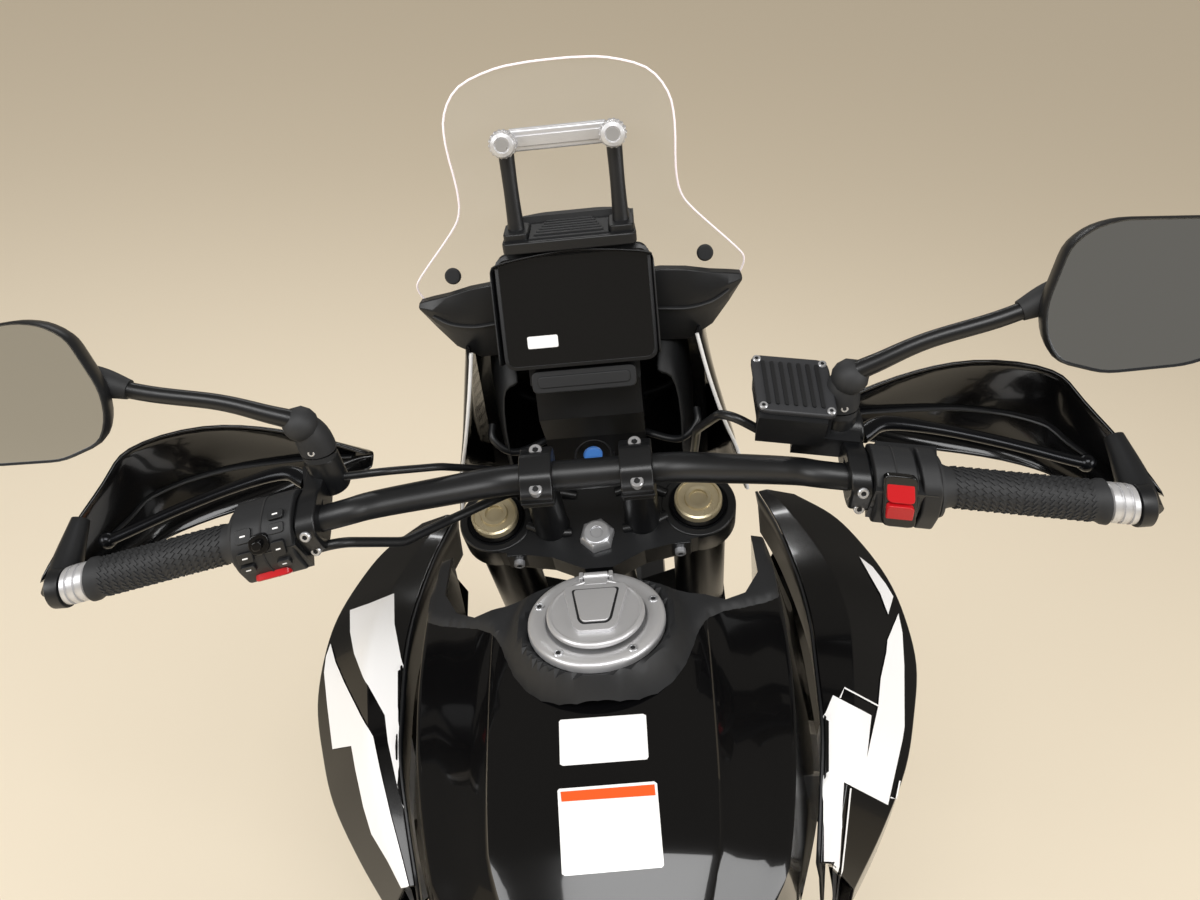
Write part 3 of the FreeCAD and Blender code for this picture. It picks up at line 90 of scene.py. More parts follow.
def camera_axes():
    """The directions right, up and ahead of the camera."""
    pitch, yaw, roll = (math.radians(angle) for angle in (CAMERA_PITCH, CAMERA_YAW, CAMERA_ROLL))
    view = Vector((math.cos(pitch) * math.cos(yaw), math.cos(pitch) * math.sin(yaw), -math.sin(pitch)))
    level = view.cross(Vector((0, 0, 1))).normalized()
    over = level.cross(view)
    right = level * math.cos(roll) + over * math.sin(roll)
    top = over * math.cos(roll) - level * math.sin(roll)
    return [bike_way(*way) for way in (right, top, view)]


def make_camera():
    """The photograph's camera."""
    right, top, view = camera_axes()
    data = bpy.data.cameras.new("camera")
    data.sensor_width = SENSOR_WIDTH
    data.lens = FOCAL_PIXELS / PHOTO_WIDTH * SENSOR_WIDTH
    data.clip_start = 0.01
    camera = bpy.data.objects.new("camera", data)
    place = Matrix((right, top, -view)).transposed().to_4x4()
    place.translation = bike(*CAMERA_PLACE)
    camera.matrix_world = place
    bpy.context.collection.objects.link(camera)
    bpy.context.scene.camera = camera


def sight(x, y):
    """The direction of a pixel of the photograph from the camera."""
    right, top, view = camera_axes()
    return (view * FOCAL_PIXELS + right * (x - PHOTO_WIDTH / 2) - top * (y - PHOTO_HEIGHT / 2)).normalized()


# Materials

def linear(colour):
    """An sRGB hex colour as linear red, green, blue and alpha."""
    values = [int(colour[place:place + 2], 16) / 255 for place in (1, 3, 5)]
    return [value / 12.92 if value <= 0.04045 else ((value + 0.055) / 1.055) ** 2.4 for value in values] + [1]


def add(tree, kind, inputs=None, **settings):
    """A node with its settings, its input values and its links."""
    made = tree.nodes.new(kind)
    for name, value in settings.items():
        setattr(made, name, value)
    for socket, value in (inputs or {}).items():
        if isinstance(value, bpy.types.NodeSocket):
            tree.links.new(value, made.inputs[socket])
        else:
            made.inputs[socket].default_value = value
    return made


def per_mm(size):
    """The scale of a texture whose features are this many mm across."""
    return 1 / (size * MM)


def finish(name, colour, roughness, bump=None, mottle=None, rough_spread=0.0, **sockets):
    """A material of one colour; bump is (size, height) in mm, and mottle is (size in mm, second colour)."""
    material = bpy.data.materials.new(name)
    material.use_nodes = True
    tree = material.node_tree
    shader = tree.nodes["Principled BSDF"]
    shader.inputs["Base Color"].default_value = linear(colour)
    shader.inputs["Roughness"].default_value = roughness
    for socket, value in sockets.items():
        shader.inputs[socket.replace("_", " ")].default_value = value
    place = add(tree, "ShaderNodeTexCoord").outputs["Object"]
    if mottle:
        size, second = mottle
        cloud = add(tree, "ShaderNodeTexNoise", {"Vector": place, "Scale": per_mm(size), "Detail": 4.0})
        mix = add(tree, "ShaderNodeMix",
                  {"Factor": cloud.outputs["Fac"], "A": linear(colour), "B": linear(second)},
                  data_type="RGBA")
        tree.links.new(mix.outputs["Result"], shader.inputs["Base Color"])
    if rough_spread:
        smear = add(tree, "ShaderNodeTexNoise", {"Vector": place, "Scale": per_mm(60), "Detail": 5.0})
        spread = add(tree, "ShaderNodeMapRange",
                     {"Value": smear.outputs["Fac"], "To Min": roughness - rough_spread,
                      "To Max": roughness + rough_spread})
        tree.links.new(spread.outputs["Result"], shader.inputs["Roughness"])
    if bump:
        size, height = bump
        grain = add(tree, "ShaderNodeTexNoise", {"Vector": place, "Scale": per_mm(size), "Detail": 3.0})
        relief = add(tree, "ShaderNodeBump",
                     {"Height": grain.outputs["Fac"], "Distance": height * MM, "Strength": 1.0})
        tree.links.new(relief.outputs["Normal"], shader.inputs["Normal"])
    return material


# Gloss enamel on pressed steel: deep black under a clear coat that waves very slightly
tank_enamel = finish("tank_enamel", "#070708", 0.2, bump=(14, 0.02), rough_spread=0.03, Coat_Weight=0.8,
                     Coat_Roughness=0.05, Specular_IOR_Level=0.15)
# Gloss moulded ABS: nearly as deep as the enamel, with softer reflections
gloss_abs = finish("gloss_abs", "#080809", 0.16, bump=(9, 0.012), rough_spread=0.04, Coat_Weight=0.4,
                   Coat_Roughness=0.06, Specular_IOR_Level=0.3)
# Grained moulded polypropylene: a fine pebble grain that scatters the light
# The same dark finish also serves as painted shade: dark hexagons in the screws' sockets and a dark line round the
# key flap
grained_plastic = finish("grained_plastic", "#17181a", 0.55, bump=(0.9, 0.08), mottle=(1.2, "#1d1e20"),
                         rough_spread=0.06)
# Satin moulded ABS: broad, dim highlights
satin_plastic = finish("satin_plastic", "#131416", 0.4, bump=(1.6, 0.03), rough_spread=0.05)
# Powder coat on steel and alloy: satin, with a slight peel
powder_coat = finish("powder_coat", "#101113", 0.34, bump=(1.8, 0.03), rough_spread=0.06)
# Painted cast aluminium: dark grey and slightly rough from the casting
engine_coat = finish("engine_coat", "#2a2b2e", 0.5, bump=(1.4, 0.06), mottle=(20, "#232427"))
# Black anodised aluminium: metal that shows through a dark, fine skin
black_anodised = finish("black_anodised", "#15161a", 0.3, bump=(0.8, 0.01), Metallic=0.85)
# Fine cast aluminium under clear lacquer: bright and soft
cast_alloy = finish("cast_alloy", "#cdcdcf", 0.36, bump=(0.7, 0.02), rough_spread=0.08, Metallic=0.6)
# Pale gold anodised aluminium: a warm, soft metal
gold_anodised = finish("gold_anodised", "#d6c9a8", 0.28, bump=(0.7, 0.01), rough_spread=0.06, Metallic=0.65)
# Zinc-plated steel: small bright heads with a slightly uneven shine
bright_steel = finish("bright_steel", "#bfc0c3", 0.3, bump=(0.6, 0.01), rough_spread=0.1, Metallic=0.7)
# Stainless steel that heat has browned in clouds
heated_steel = finish("heated_steel", "#8f8578", 0.38, mottle=(60, "#a2907a"), rough_spread=0.1, Metallic=1.0)
# Polished hard chrome: sharp reflections
hard_chrome = finish("hard_chrome", "#d5d6d8", 0.1, rough_spread=0.04, Metallic=1.0)
# Vulcanised tyre rubber: matte, and greyer where it is dusty
tyre_rubber = finish("tyre_rubber", "#1b1b1c", 0.8, bump=(2.0, 0.1), mottle=(30, "#222223"))
# Moulded grip rubber: matte, a little greasy
grip_rubber = finish("grip_rubber", "#1f2022", 0.62, bump=(0.8, 0.05), mottle=(10, "#252628"))
# Embossed seat vinyl: a leather-like grain, drawn as coarse as it needs to show
seat_vinyl = finish("seat_vinyl", "#1a1a1c", 0.55, bump=(1.4, 0.12), rough_spread=0.05)
# Dark glass over a switched-off display: black with a sharp sheen
display_glass = finish("display_glass", "#050506", 0.08, rough_spread=0.03, Coat_Weight=1.0,
                       Coat_Roughness=0.03)
# Moulded coloured polycarbonate: a shiny face over a deep colour
red_lens = finish("red_lens", "#7c0a0c", 0.15, bump=(3, 0.05), Coat_Weight=0.5)
amber_lens = finish("amber_lens", "#d0730f", 0.15, bump=(3, 0.05), Coat_Weight=0.5)
# Clear polycarbonate before a bright bowl: pale, with a sharp sheen
lamp_glass = finish("lamp_glass", "#c9d2d8", 0.08, rough_spread=0.02, Coat_Weight=1.0)
# Thin matte paint on aluminium fins
radiator_paint = finish("radiator_paint", "#0f1011", 0.6, bump=(1.0, 0.1))
# Clear acrylic sheet seen through: only its faint sheen shows
clear_acrylic = finish("clear_acrylic", "#e9edef", 0.05, rough_spread=0.02, Alpha=0.08)
# The acrylic's polished edge gathers the light and shows as a bright line; here that line is a painted highlight,
# given as a faint glow
edge_glow_highlight = finish("edge_glow_highlight", "#f3e9ee", 0.12, rough_spread=0.03, Emission_Color=linear("#f3e9ee"),
                       Emission_Strength=0.25)
# Forged aluminium, anodised black: a smooth blade with long highlights
forged_black = finish("forged_black", "#141518", 0.22, rough_spread=0.06, Metallic=0.6)
# Printed vinyl film: an even colour under a thin gloss
white_vinyl = finish("white_vinyl", "#e9e9ea", 0.22, rough_spread=0.04, Coat_Weight=0.4)
orange_vinyl = finish("orange_vinyl", "#d9541c", 0.3, rough_spread=0.04)
# Moulded nylon, coloured through: the switches' red
red_plastic = finish("red_plastic", "#b3121a", 0.3, bump=(1.5, 0.02), rough_spread=0.04)
# A painted reflection: a flat blue that stands for the blue glint on the key lock's bright metal
painted_blue_glint = finish("painted_blue_glint", "#3c6fb4", 0.3, rough_spread=0.04)
# Silvered glass: it reflects the room nearly unblurred
mirror_glass = finish("mirror_glass", "#dfe3e6", 0.02, rough_spread=0.01, Metallic=1.0)

FINISHES = {
    "black_paint": powder_coat,
    "engine_paint": engine_coat,
    "header_steel": heated_steel,
    "steel": bright_steel,
    "radiator_core": radiator_paint,
    "satin_black_plastic": satin_plastic,
    "gloss_black": gloss_abs,
    "matte_black_plastic": grained_plastic,
    "silver_alloy": cast_alloy,
    "seat_vinyl": seat_vinyl,
    "red_lens": red_lens,
    "amber_lens": amber_lens,
    "lamp_lens": lamp_glass,
    "screen_glass": display_glass,
    "clear_acrylic": clear_acrylic,
    "black_alloy": black_anodised,
    "pale_gold_alloy": gold_anodised,
    "hard_chrome": hard_chrome,
    "tyre_rubber": tyre_rubber,
    "grip_rubber": grip_rubber,
}


def paint_nodes():
    """Gives every carried-over piece the finish of its slot."""
    for row in frame["record"]["subparts"]:
        piece = frame["nodes"][row["node"]]
        material = tank_enamel if row["node"] == "fuel_tank" else FINISHES[row["material_slot"]]
        piece.data.materials.clear()
        piece.data.materials.append(material)


# Shaping: shapes are lists of points in mm and faces, in the motorcycle's or the fork's frame

def circle(count):
    """The cosine and the sine of each of a number of even turns."""
    return [(math.cos(2 * math.pi * step / count), math.sin(2 * math.pi * step / count))
            for step in range(count)]


def box(wide, tall, middle=(0, 0)):
    """The outline of a rectangle about its middle."""
    a, b = middle
    return [(a - wide / 2, b - tall / 2), (a + wide / 2, b - tall / 2), (a + wide / 2, b + tall / 2),
            (a - wide / 2, b + tall / 2)]


def mirrored(places):
    """The same places on the other side of the motorcycle."""
    return [(x, -y, z) for x, y, z in places]


def together(*shapes):
    """Several shapes as one."""
    points, faces = [], []
    for shape_points, shape_faces in shapes:
        start = len(points)
        points += list(shape_points)
        faces += [tuple(start + index for index in face) for face in shape_faces]
    return points, faces


def flipped(shape):
    """The shape's mirror image on the other side of the motorcycle."""
    points, faces = shape
    return mirrored(points), faces


def pair(shape):
    """The shape on both sides."""
    return together(shape, flipped(shape))


def skin(rows, ring=False, ends=False):
    """A sheet through rows of points; ring closes each row, and ends fills the first and the last."""
    wide = len(rows[0])
    points = [tuple(point) for row in rows for point in row]
    faces = []
    for row in range(len(rows) - 1):
        for place in range(wide if ring else wide - 1):
            beside = (place + 1) % wide
            faces.append(
                (row * wide + place, row * wide + beside, (row + 1) * wide + beside,
                 (row + 1) * wide + place))
    if ends:
        faces += [tuple(range(wide))[::-1], tuple(range(len(points) - wide, len(points)))]
    return points, faces


def lathe(profile, base, way, around=40):
    """A turned shape from (radius, height) pairs about a line."""
    base, way = Vector(base), Vector(way).normalized()
    side = way.orthogonal().normalized()
    other = way.cross(side)
    rows = []
    for radius, height in profile:
        reach = max(radius, 0.02)
        rows.append(
            [base + way * height + (side * cosine + other * sine) * reach for cosine, sine in circle(around)])
    return skin(rows, ring=True, ends=True)


def slab(outline, low, high, across=lambda a, b, depth: (a, b, depth)):
    """A plate between two depths; across turns (a, b, depth) into a point."""
    rows = [[across(a, b, depth) for a, b in outline] for depth in (low, high)]
    return skin(rows, ring=True, ends=True)


def brick(centre, size, turn=None):
    """A box about its centre, turned in place."""
    wide, tall, deep = size
    turn = turn or Matrix.Identity(3)
    return slab(box(wide, tall), -deep / 2, deep / 2, lambda a, b,
                depth: Vector(centre) + turn @ Vector((a, b, depth)))


def on_curve(before, start, stop, after, t):
    """What lies at a share t of the way from start to stop, on the smooth curve through all four."""
    bend, twist = before * 2 - start * 5 + stop * 4 - after, start * 3 - before - stop * 3 + after
    return (start * 2 + (stop - before) * t + bend * t ** 2 + twist * t ** 3) / 2


def smooth_line(places, steps=6):
    """Points on a smooth curve through the places."""
    places = [Vector(place) for place in places]
    ends = [places[0] * 2 - places[1]] + places + [places[-1] * 2 - places[-2]]
    line = []
    for four in zip(ends, ends[1:], ends[2:], ends[3:]):
        line += [on_curve(*four, step / steps) for step in range(steps)]
    return line + [places[-1]]


def refined(rows, steps=4):
    """More rows between the rows, on smooth curves."""
    columns = [smooth_line(column, steps) for column in zip(*rows)]
    return [list(row) for row in zip(*columns)]


def limb(places, radii, over=UPWARD, flat=1.0, around=18, steps=6):
    """A round or flattened bar along a smooth curve, with a radius for each place."""
    tall = smooth_line([(radius, 0, 0) for radius in radii], steps)
    line = smooth_line(places, steps)
    rows = []
    for index, point in enumerate(line):
        way = (line[min(index + 1, len(line) - 1)] - line[max(index - 1, 0)]).normalized()
        side = way.cross(Vector(over)).normalized()
        top = side.cross(way)
        radius = tall[index].x
        rows.append(
            [point + side * cosine * radius + top * sine * radius * flat for cosine, sine in circle(around)])
    return skin(rows, ring=True, ends=True)


def rounded(outline, radius, steps=4):
    """An outline with its corners rounded off."""
    made = []
    for index, corner in enumerate(outline):
        corner = Vector(corner)
        before = Vector(outline[index - 1]) - corner
        after = Vector(outline[(index + 1) % len(outline)]) - corner
        reach = min(radius, before.length * 0.45, after.length * 0.45)
        start, stop = corner + before.normalized() * reach, corner + after.normalized() * reach
        for step in range(steps + 1):
            t = step / steps
            made.append(tuple(start * (1 - t) ** 2 + corner * 2 * t * (1 - t) + stop * t ** 2))
    return made


def meshed(name, shape, place=bike):
    """The shape as a mesh in its place, its doubles merged and its faces outwards."""
    points, faces = shape
    work = bmesh.new()
    corners = [work.verts.new(place(*point)) for point in points]
    for face in faces:
        work.faces.new([corners[index] for index in face])
    bmesh.ops.remove_doubles(work, verts=work.verts, dist=0.05 * MM)
    bmesh.ops.recalc_face_normals(work, faces=work.faces)
    mesh = bpy.data.meshes.new(name)
    work.to_mesh(mesh)
    work.free()
    return mesh


def show(name, mesh, material, body, stands_for=(), wall=0, bevel=0, smooth=0, sharp=35,
         place=bike):
    """A finished piece on its body, given a wall, rounded edges or a smoother surface by modifiers."""
    if not isinstance(mesh, bpy.types.Mesh):
        mesh = meshed(name, mesh, place)
    made = bpy.data.objects.new(name, mesh)
    bpy.context.collection.objects.link(made)
    if not mesh.materials:
        mesh.materials.append(material)
    mesh.polygons.foreach_set("use_smooth", [True] * len(mesh.polygons))
    if not smooth:
        mesh.set_sharp_from_angle(angle=math.radians(sharp))
    if wall:
        thick = made.modifiers.new("wall", "SOLIDIFY")
        thick.thickness = abs(wall) * MM
        thick.offset = -1 if wall > 0 else 1
    if bevel:
        edge = made.modifiers.new("edge", "BEVEL")
        edge.width = bevel * MM
        edge.segments = 2
        edge.limit_method = "ANGLE"
        edge.angle_limit = math.radians(sharp)
        edge.harden_normals = True
    if smooth:
        soft = made.modifiers.new("soft", "SUBSURF")
        soft.levels = soft.render_levels = smooth
    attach(made, body)
    if stands_for:
        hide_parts(*stands_for)
    return made


def settled(piece):
    """The piece's mesh as its modifiers leave it."""
    bpy.context.view_layer.update()
    graph = bpy.context.evaluated_depsgraph_get()
    return bpy.data.meshes.new_from_object(piece.evaluated_get(graph), depsgraph=graph)


def carved(mesh, tool):
    """The mesh with the tool's room taken out of it."""
    objects = [bpy.data.objects.new("carving", each) for each in (mesh, tool)]
    for each in objects:
        bpy.context.collection.objects.link(each)
    cut = objects[0].modifiers.new("cut", "BOOLEAN")
    cut.operation = "DIFFERENCE"
    cut.object = objects[1]
    cut.solver = "EXACT"
    result = settled(objects[0])
    for each in objects:
        bpy.data.objects.remove(each)
    return result


def netted(outline, inner, grain):
    """Places and triangles that fill an outline, with its edge divided to a grain."""
    edge = []
    for start, stop in zip(outline, outline[1:] + outline[:1]):
        start, stop = Vector(start), Vector(stop)
        count = max(1, round((stop - start).length / grain))
        edge += [start.lerp(stop, step / count) for step in range(count)]
    spots, _, faces, _, _, _ = delaunay_2d_cdt(edge + inner, [], [list(range(len(edge)))], 1, 0.01)
    return spots, faces


TRACE_GRAIN = 5.0


def traced(name, outline, surface, lift):
    """A thin graphic laid over a surface; its outline is in the photograph's pixels."""
    surface.calc_loop_triangles()
    tree = BVHTree.FromPolygons([vertex.co for vertex in surface.vertices],
                                [list(triangle.vertices) for triangle in surface.loop_triangles])
    eye = bike(*CAMERA_PLACE)
    lows = [min(point[axis] for point in outline) for axis in (0, 1)]
    highs = [max(point[axis] for point in outline) for axis in (0, 1)]
    columns, lines = (int((high - low) / TRACE_GRAIN) for low, high in zip(lows, highs))
    inner = [Vector((lows[0] + (column + 0.5) * TRACE_GRAIN, lows[1] + (line + 0.5) * TRACE_GRAIN))
             for column in range(columns) for line in range(lines)]
    spots, faces = netted(outline, inner, TRACE_GRAIN)
    places = []
    for spot in spots:
        point, normal, _, _ = tree.ray_cast(eye, sight(*spot))
        if point:
            if normal.dot(point - eye) > 0:
                normal = -normal
            places.append(point + normal * lift * MM)
        else:
            places.append(None)
    work = bmesh.new()
    corners = [work.verts.new(place) if place else None for place in places]
    for face in faces:
        if all(corners[index] for index in face):
            work.faces.new([corners[index] for index in face])
    bmesh.ops.delete(work, geom=[corner for corner in work.verts if not corner.link_faces], context="VERTS")
    for face in work.faces:
        if face.normal.dot(face.calc_center_median() - eye) > 0:
            face.normal_flip()
    mesh = bpy.data.meshes.new(name)
    work.to_mesh(mesh)
    work.free()
    return mesh


# Fuel tank, its cover and its filler

TANK_STATIONS = [
    # x, crown height, then half width and height of the crown's edge, of the outer edge and of the belly,
    # and floor height
    (730, 938, 68, 931, 96, 905, 100, 852, 812),
    (800, 975, 90, 966, 142, 930, 150, 858, 800),
    (920, 1006, 97, 998, 166, 966, 190, 862, 795),
    (1043, 1030, 99, 1023, 172, 992, 200, 872, 850),
    (1125, 1036, 99, 1029, 166, 1004, 196, 905, 885),
]
TANK_REAR, TANK_FRONT, TANK_STEPS = 729.8, 1125, 33
CAP = (985, 0, 1031)
RING_RADIUS = 62
RING_TOP = 1039


def between(rows, x):
    """The row at x on smooth curves through the rows."""
    places = [row[0] for row in rows]
    x = min(max(x, places[0]), places[-1])
    index = max(step for step in range(len(rows) - 1) if places[step] <= x)
    t = (x - places[index]) / (places[index + 1] - places[index])
    four = [rows[min(max(index + step, 0), len(rows) - 1)] for step in (-1, 0, 1, 2)]
    return [on_curve(*values, t) for values in zip(*four)]


def tank_height(x, y):
    """The height of the tank's top at a place in plan."""
    _, crown, crown_half, crown_edge, outer_half, outer_edge, belly_half, belly, _ = between(TANK_STATIONS, x)
    y = abs(y)
    if y <= crown_half:
        return crown - (crown - crown_edge) * (y / crown_half) ** 2
    if y <= outer_half:
        t = (y - crown_half) / (outer_half - crown_half)
        return crown_edge + (outer_edge - crown_edge) * t - 3 * math.sin(math.pi * t)
    return outer_edge - (y - outer_half) * (outer_edge - belly) / max(belly_half - outer_half, 8)


FORK_ROOM_HEIGHTS = (780, 1380)


def fork_room():
    """The room that the fork sweeps from stop to stop."""
    half = [(-53, 14), (-60, 34), (-72, 60), (-80, 85), (-84, 118), (-73, 138), (-46, 154), (300, 154)]
    outline = [(d, -y) for d, y in half] + half[::-1]
    return meshed("fork_room", slab(outline, *FORK_ROOM_HEIGHTS), steer)


def make_tank():
    """The steel tank: a flat crown between two creases, a hollowed band, and sides that tuck under."""
    rows = []
    for step in range(TANK_STEPS + 1):
        x = TANK_REAR + (TANK_FRONT - TANK_REAR) * step / TANK_STEPS
        _, _, crown_half, crown_edge, outer_half, outer_edge, belly_half, belly, floor = between(
            TANK_STATIONS, x)
        half = [(crown_half * t, tank_height(x, crown_half * t)) for t in (0, 0.2, 0.4, 0.6, 0.8, 0.92)]
        half += [(crown_half - 2.0, crown_edge + 0.1), (crown_half - 0.6, crown_edge - 0.3),
                 (crown_half + 0.8, crown_edge - 2.4),
                 (crown_half + 3, tank_height(x, crown_half + 3) - 1.2)]
        band = outer_half - crown_half
        half += [(crown_half + band * t, tank_height(x, crown_half + band * t)) for t in (0.25, 0.5, 0.75)]
        half += [(outer_half - 4, tank_height(x, outer_half - 4)), (outer_half - 1.2, outer_edge + 0.2),
                 (outer_half + 0.6, outer_edge - 1.6),
                 (outer_half + (belly_half - outer_half) * 0.25, outer_edge - (outer_edge - belly) * 0.25),
                 (outer_half + (belly_half - outer_half) * 0.6, outer_edge - (outer_edge - belly) * 0.6),
                 (belly_half - 1, belly + 6),
                 (belly_half - 3, belly - 2), (belly_half * 0.7, floor)]
        rows.append([(x, y, z) for y, z in half] + [(x, -y, z) for y, z in half[:0:-1]])
    body = carved(meshed("tank", skin(rows, ring=True, ends=True)), fork_room())
    return show("tank", body, tank_enamel, "chassis", ("fuel_tank",), sharp=28)


# The cover's outline in plan, left half from the rear to the front
COVER_HALF = [(907, 0), (908, 18), (912, 34), (920, 50), (932, 64), (948, 76), (966, 84), (984, 91),
              (1000, 101), (1012, 116), (1022, 134), (1034, 156), (1043, 170), (1058, 175), (1100, 173),
              (1122, 166), (1124, 150), (1124, 0)]
COVER_RISE, COVER_WALL, COVER_GRAIN = 6.5, 5, 5
COVER_CORNER, COVER_COLUMNS, COVER_LINES = (900, -179.7), 47, 73


def from_edge(place, start, stop):
    """How far a place is from the line between two others."""
    line = stop - start
    along = min(max((place - start).dot(line) / line.length_squared, 0), 1)
    return (place - start - line * along).length


def make_cover():
    """The cover round the filler: a rolled edge, a dished collar and two arms over the tank's shoulders."""
    outline = [Vector(place) for place in COVER_HALF] + [Vector((x, -y)) for x, y in COVER_HALF[-2:0:-1]]
    edges = list(zip(outline, outline[1:] + outline[:1]))

    def inset(place):
        """How far a place lies inside the outline."""
        return min(from_edge(place, start, stop) for start, stop in edges)

    inner = [Vector((COVER_CORNER[0] + COVER_GRAIN * column, COVER_CORNER[1] + COVER_GRAIN * row))
             for column in range(COVER_COLUMNS) for row in range(COVER_LINES)]
    spots, faces = netted(outline, inner, COVER_GRAIN)
    middle = Vector(CAP[:2])
    top = []
    for spot in spots:
        near = (spot - middle).length
        depth = inset(spot.to_2d()) if near > RING_RADIUS else 30
        rise = COVER_RISE * min(1, (1 - (1 - min(depth, 9) / 9) ** 2) ** 0.5) - 1.0
        collar = max(0, 1 - abs(near - RING_RADIUS - 7) / 15)
        height = tank_height(spot.x, spot.y) + rise
        level = CAP[2] + 5.5
        blend = collar * collar * (3 - 2 * collar)
        height = height * (1 - blend) + max(height, level) * blend
        if near < RING_RADIUS + 0.5:
            height = CAP[2] - 4
        top.append((spot.x, spot.y, height))
    mesh = meshed("tank_cover", (top, faces))
    mesh = carved(thickened(mesh, COVER_WALL), fork_room())
    show("tank_cover", mesh, grained_plastic, "chassis", ("tank_console",), sharp=40)


def thickened(mesh, wall):
    """The sheet with a wall below it."""
    piece = bpy.data.objects.new("sheet", mesh)
    bpy.context.collection.objects.link(piece)
    if sum(face.normal.dot(up) for face in mesh.polygons) < 0:
        mesh.flip_normals()
    thick = piece.modifiers.new("wall", "SOLIDIFY")
    thick.thickness = wall * MM
    thick.offset = -1
    result = settled(piece)
    bpy.data.objects.remove(piece)
    return result


def in_plan(middle, top):
    """Turns (a, b, height) about a centre into a point, a ahead and b to the left."""
    return lambda a, b, height: (middle[0] + a, middle[1] + b, top + height)


RING_SCREWS, RING_SCREW_RADIUS = 5, 54.5
LID_HINGE_X = 1033


def make_filler():
    """The filler's ring with five sunk screws, and its hinged lid with a key flap."""
    lip = [(24, -9), (45.5, -9), (45.5, 5.4), (46.2, 6.6), (48, 7.2), (55, 8.2), (59.5, 7.6), (61.6, 5.6),
           (62, 3), (62, -1), (24, -1)]
    ring = lathe(lip[::-1], CAP, UPWARD, around=96)
    show("filler_ring_turned", ring, cast_alloy, "chassis", ("filler_ring",), sharp=50)
    ears = pair(brick((1034, 13.8, RING_TOP + 2.6), (9, 4, 9)))
    pin = lathe([(2.2, -15), (2.2, 15)], (LID_HINGE_X, 0, RING_TOP + 5), ACROSS, around=16)
    show("lid_hinge", together(ears, pin), cast_alloy, "chassis", bevel=0.8)
    heads = []
    sockets = []
    for cosine, sine in circle(RING_SCREWS):
        place = Vector(CAP) + Vector((cosine, sine, 0)) * RING_SCREW_RADIUS + Vector((0, 0, 8))
        heads.append(
            lathe([(0, 0.5), (2.4, 0.5), (2.6, 0.9), (4.0, 0.9), (4.6, 0.2), (4.6, -1)], place, UPWARD,
                  around=20))
        # Painted shade: a dark hexagon in each screw's socket stands for the shade in the hole
        sockets.append(lathe([(0, 0.62), (2.3, 0.62), (2.3, 0.4), (0, 0.4)], place, UPWARD, around=6))
    show("ring_screws", together(*heads), bright_steel, "chassis", sharp=30)
    show("ring_screw_sockets", together(*sockets), grained_plastic, "chassis",
         sharp=30)
    disc = lathe(
        [(0, 0.8), (43.2, 0.8), (44, 1.6), (44, 4.6), (42.6, 6.2), (40.6, 6.6), (39.6, 5.6), (37.5, 5.4),
         (0, 5.6)],
        (CAP[0], 0, RING_TOP), UPWARD, around=72)
    plinth = rounded([(33, -27), (33, 27), (26, 29), (-22, 19), (-28, 14), (-28, -14), (-22, -19), (26, -29)],
                     5)
    flap = rounded([(25, -20), (25, 20), (-14, 13), (-18, 10), (-18, -10), (-14, -13)], 4)
    at_lid = in_plan(CAP, RING_TOP)
    knuckle = together(lathe([(4.2, -11), (4.2, 11)], (LID_HINGE_X, 0, RING_TOP + 5), ACROSS, around=20),
                       brick((1026, 0, RING_TOP + 4.4), (12, 21, 5)))
    lid = together(disc, slab(plinth, 5.2, 8.6, at_lid), knuckle)
    show("lid", lid, cast_alloy, "filler_flap", ("filler_lid",), bevel=0.9, sharp=32)
    show("key_flap", slab(flap, 8.4, 10.4, at_lid), cast_alloy, "filler_flap", bevel=1.0,
         sharp=32)
    # Painted shade: a thin dark plate shows round the key flap, standing for the shade in the gap between flap and
    # lid
    flap_gap_shade = slab(rounded([(27, -22), (27, 22), (-15, 15), (-20, 11), (-20, -11), (-15, -15)], 4), 8.3, 8.75,
                  at_lid)
    show("key_flap_gap", flap_gap_shade, grained_plastic, "filler_flap")


# Stickers and stripes, as outlines in the photograph's pixels
FUEL_STICKER = [(559, 722), (560.5, 720), (643, 714), (646, 715.5), (648.5, 757), (647, 759.5), (563, 766),
                (560, 764.5)]
SAFETY_STICKER = [(557.5, 791), (559, 789), (654, 781.5), (657, 783.5), (664, 865), (662, 867.5), (565, 876),
                  (562, 874)]
SAFETY_BAND = [(560.5, 792), (654.5, 784.5), (655.6, 795.5), (561.6, 802)]
STICKER_LIFT, BAND_LIFT = 0.3, 0.45


def make_stickers(tank):
    """The tank's two blank stickers and the orange band on the larger one."""
    surface = settled(tank)
    for name, outline, lift, material in (("fuel_sticker", FUEL_STICKER, STICKER_LIFT, white_vinyl),
                                          ("safety_sticker", SAFETY_STICKER, STICKER_LIFT, white_vinyl),
                                          ("safety_sticker_band", SAFETY_BAND, BAND_LIFT, orange_vinyl)):
        show(name, traced(name, outline, surface, lift), material, "chassis")


# Yokes, handlebar and what it carries

UPPER_YOKE = (1120, 1150)
FORK_LEAD, FORK_HALF, FORK_TOP = 30, 103, 1154
CLAMP_HALF, KEY_LEAD = 46, 88
BAR_MIDDLE, BAR_BEND = (1080, 0, 1128), (992, 200, 1166)
BAR_TIP = (964, 416, 1138)


def at_bar(along, out=0, rise=0):
    """A place on the straight end of the left bar: out ahead of it and rise over it, square to the fork."""
    t = (along - BAR_BEND[1]) / (BAR_TIP[1] - BAR_BEND[1])
    x, z = (BAR_BEND[axis] + (BAR_TIP[axis] - BAR_BEND[axis]) * t for axis in (0, 2))
    rake = math.radians(RAKE)
    return (x + out * math.cos(rake) - rise * math.sin(rake), along,
            z + out * math.sin(rake) + rise * math.cos(rake))


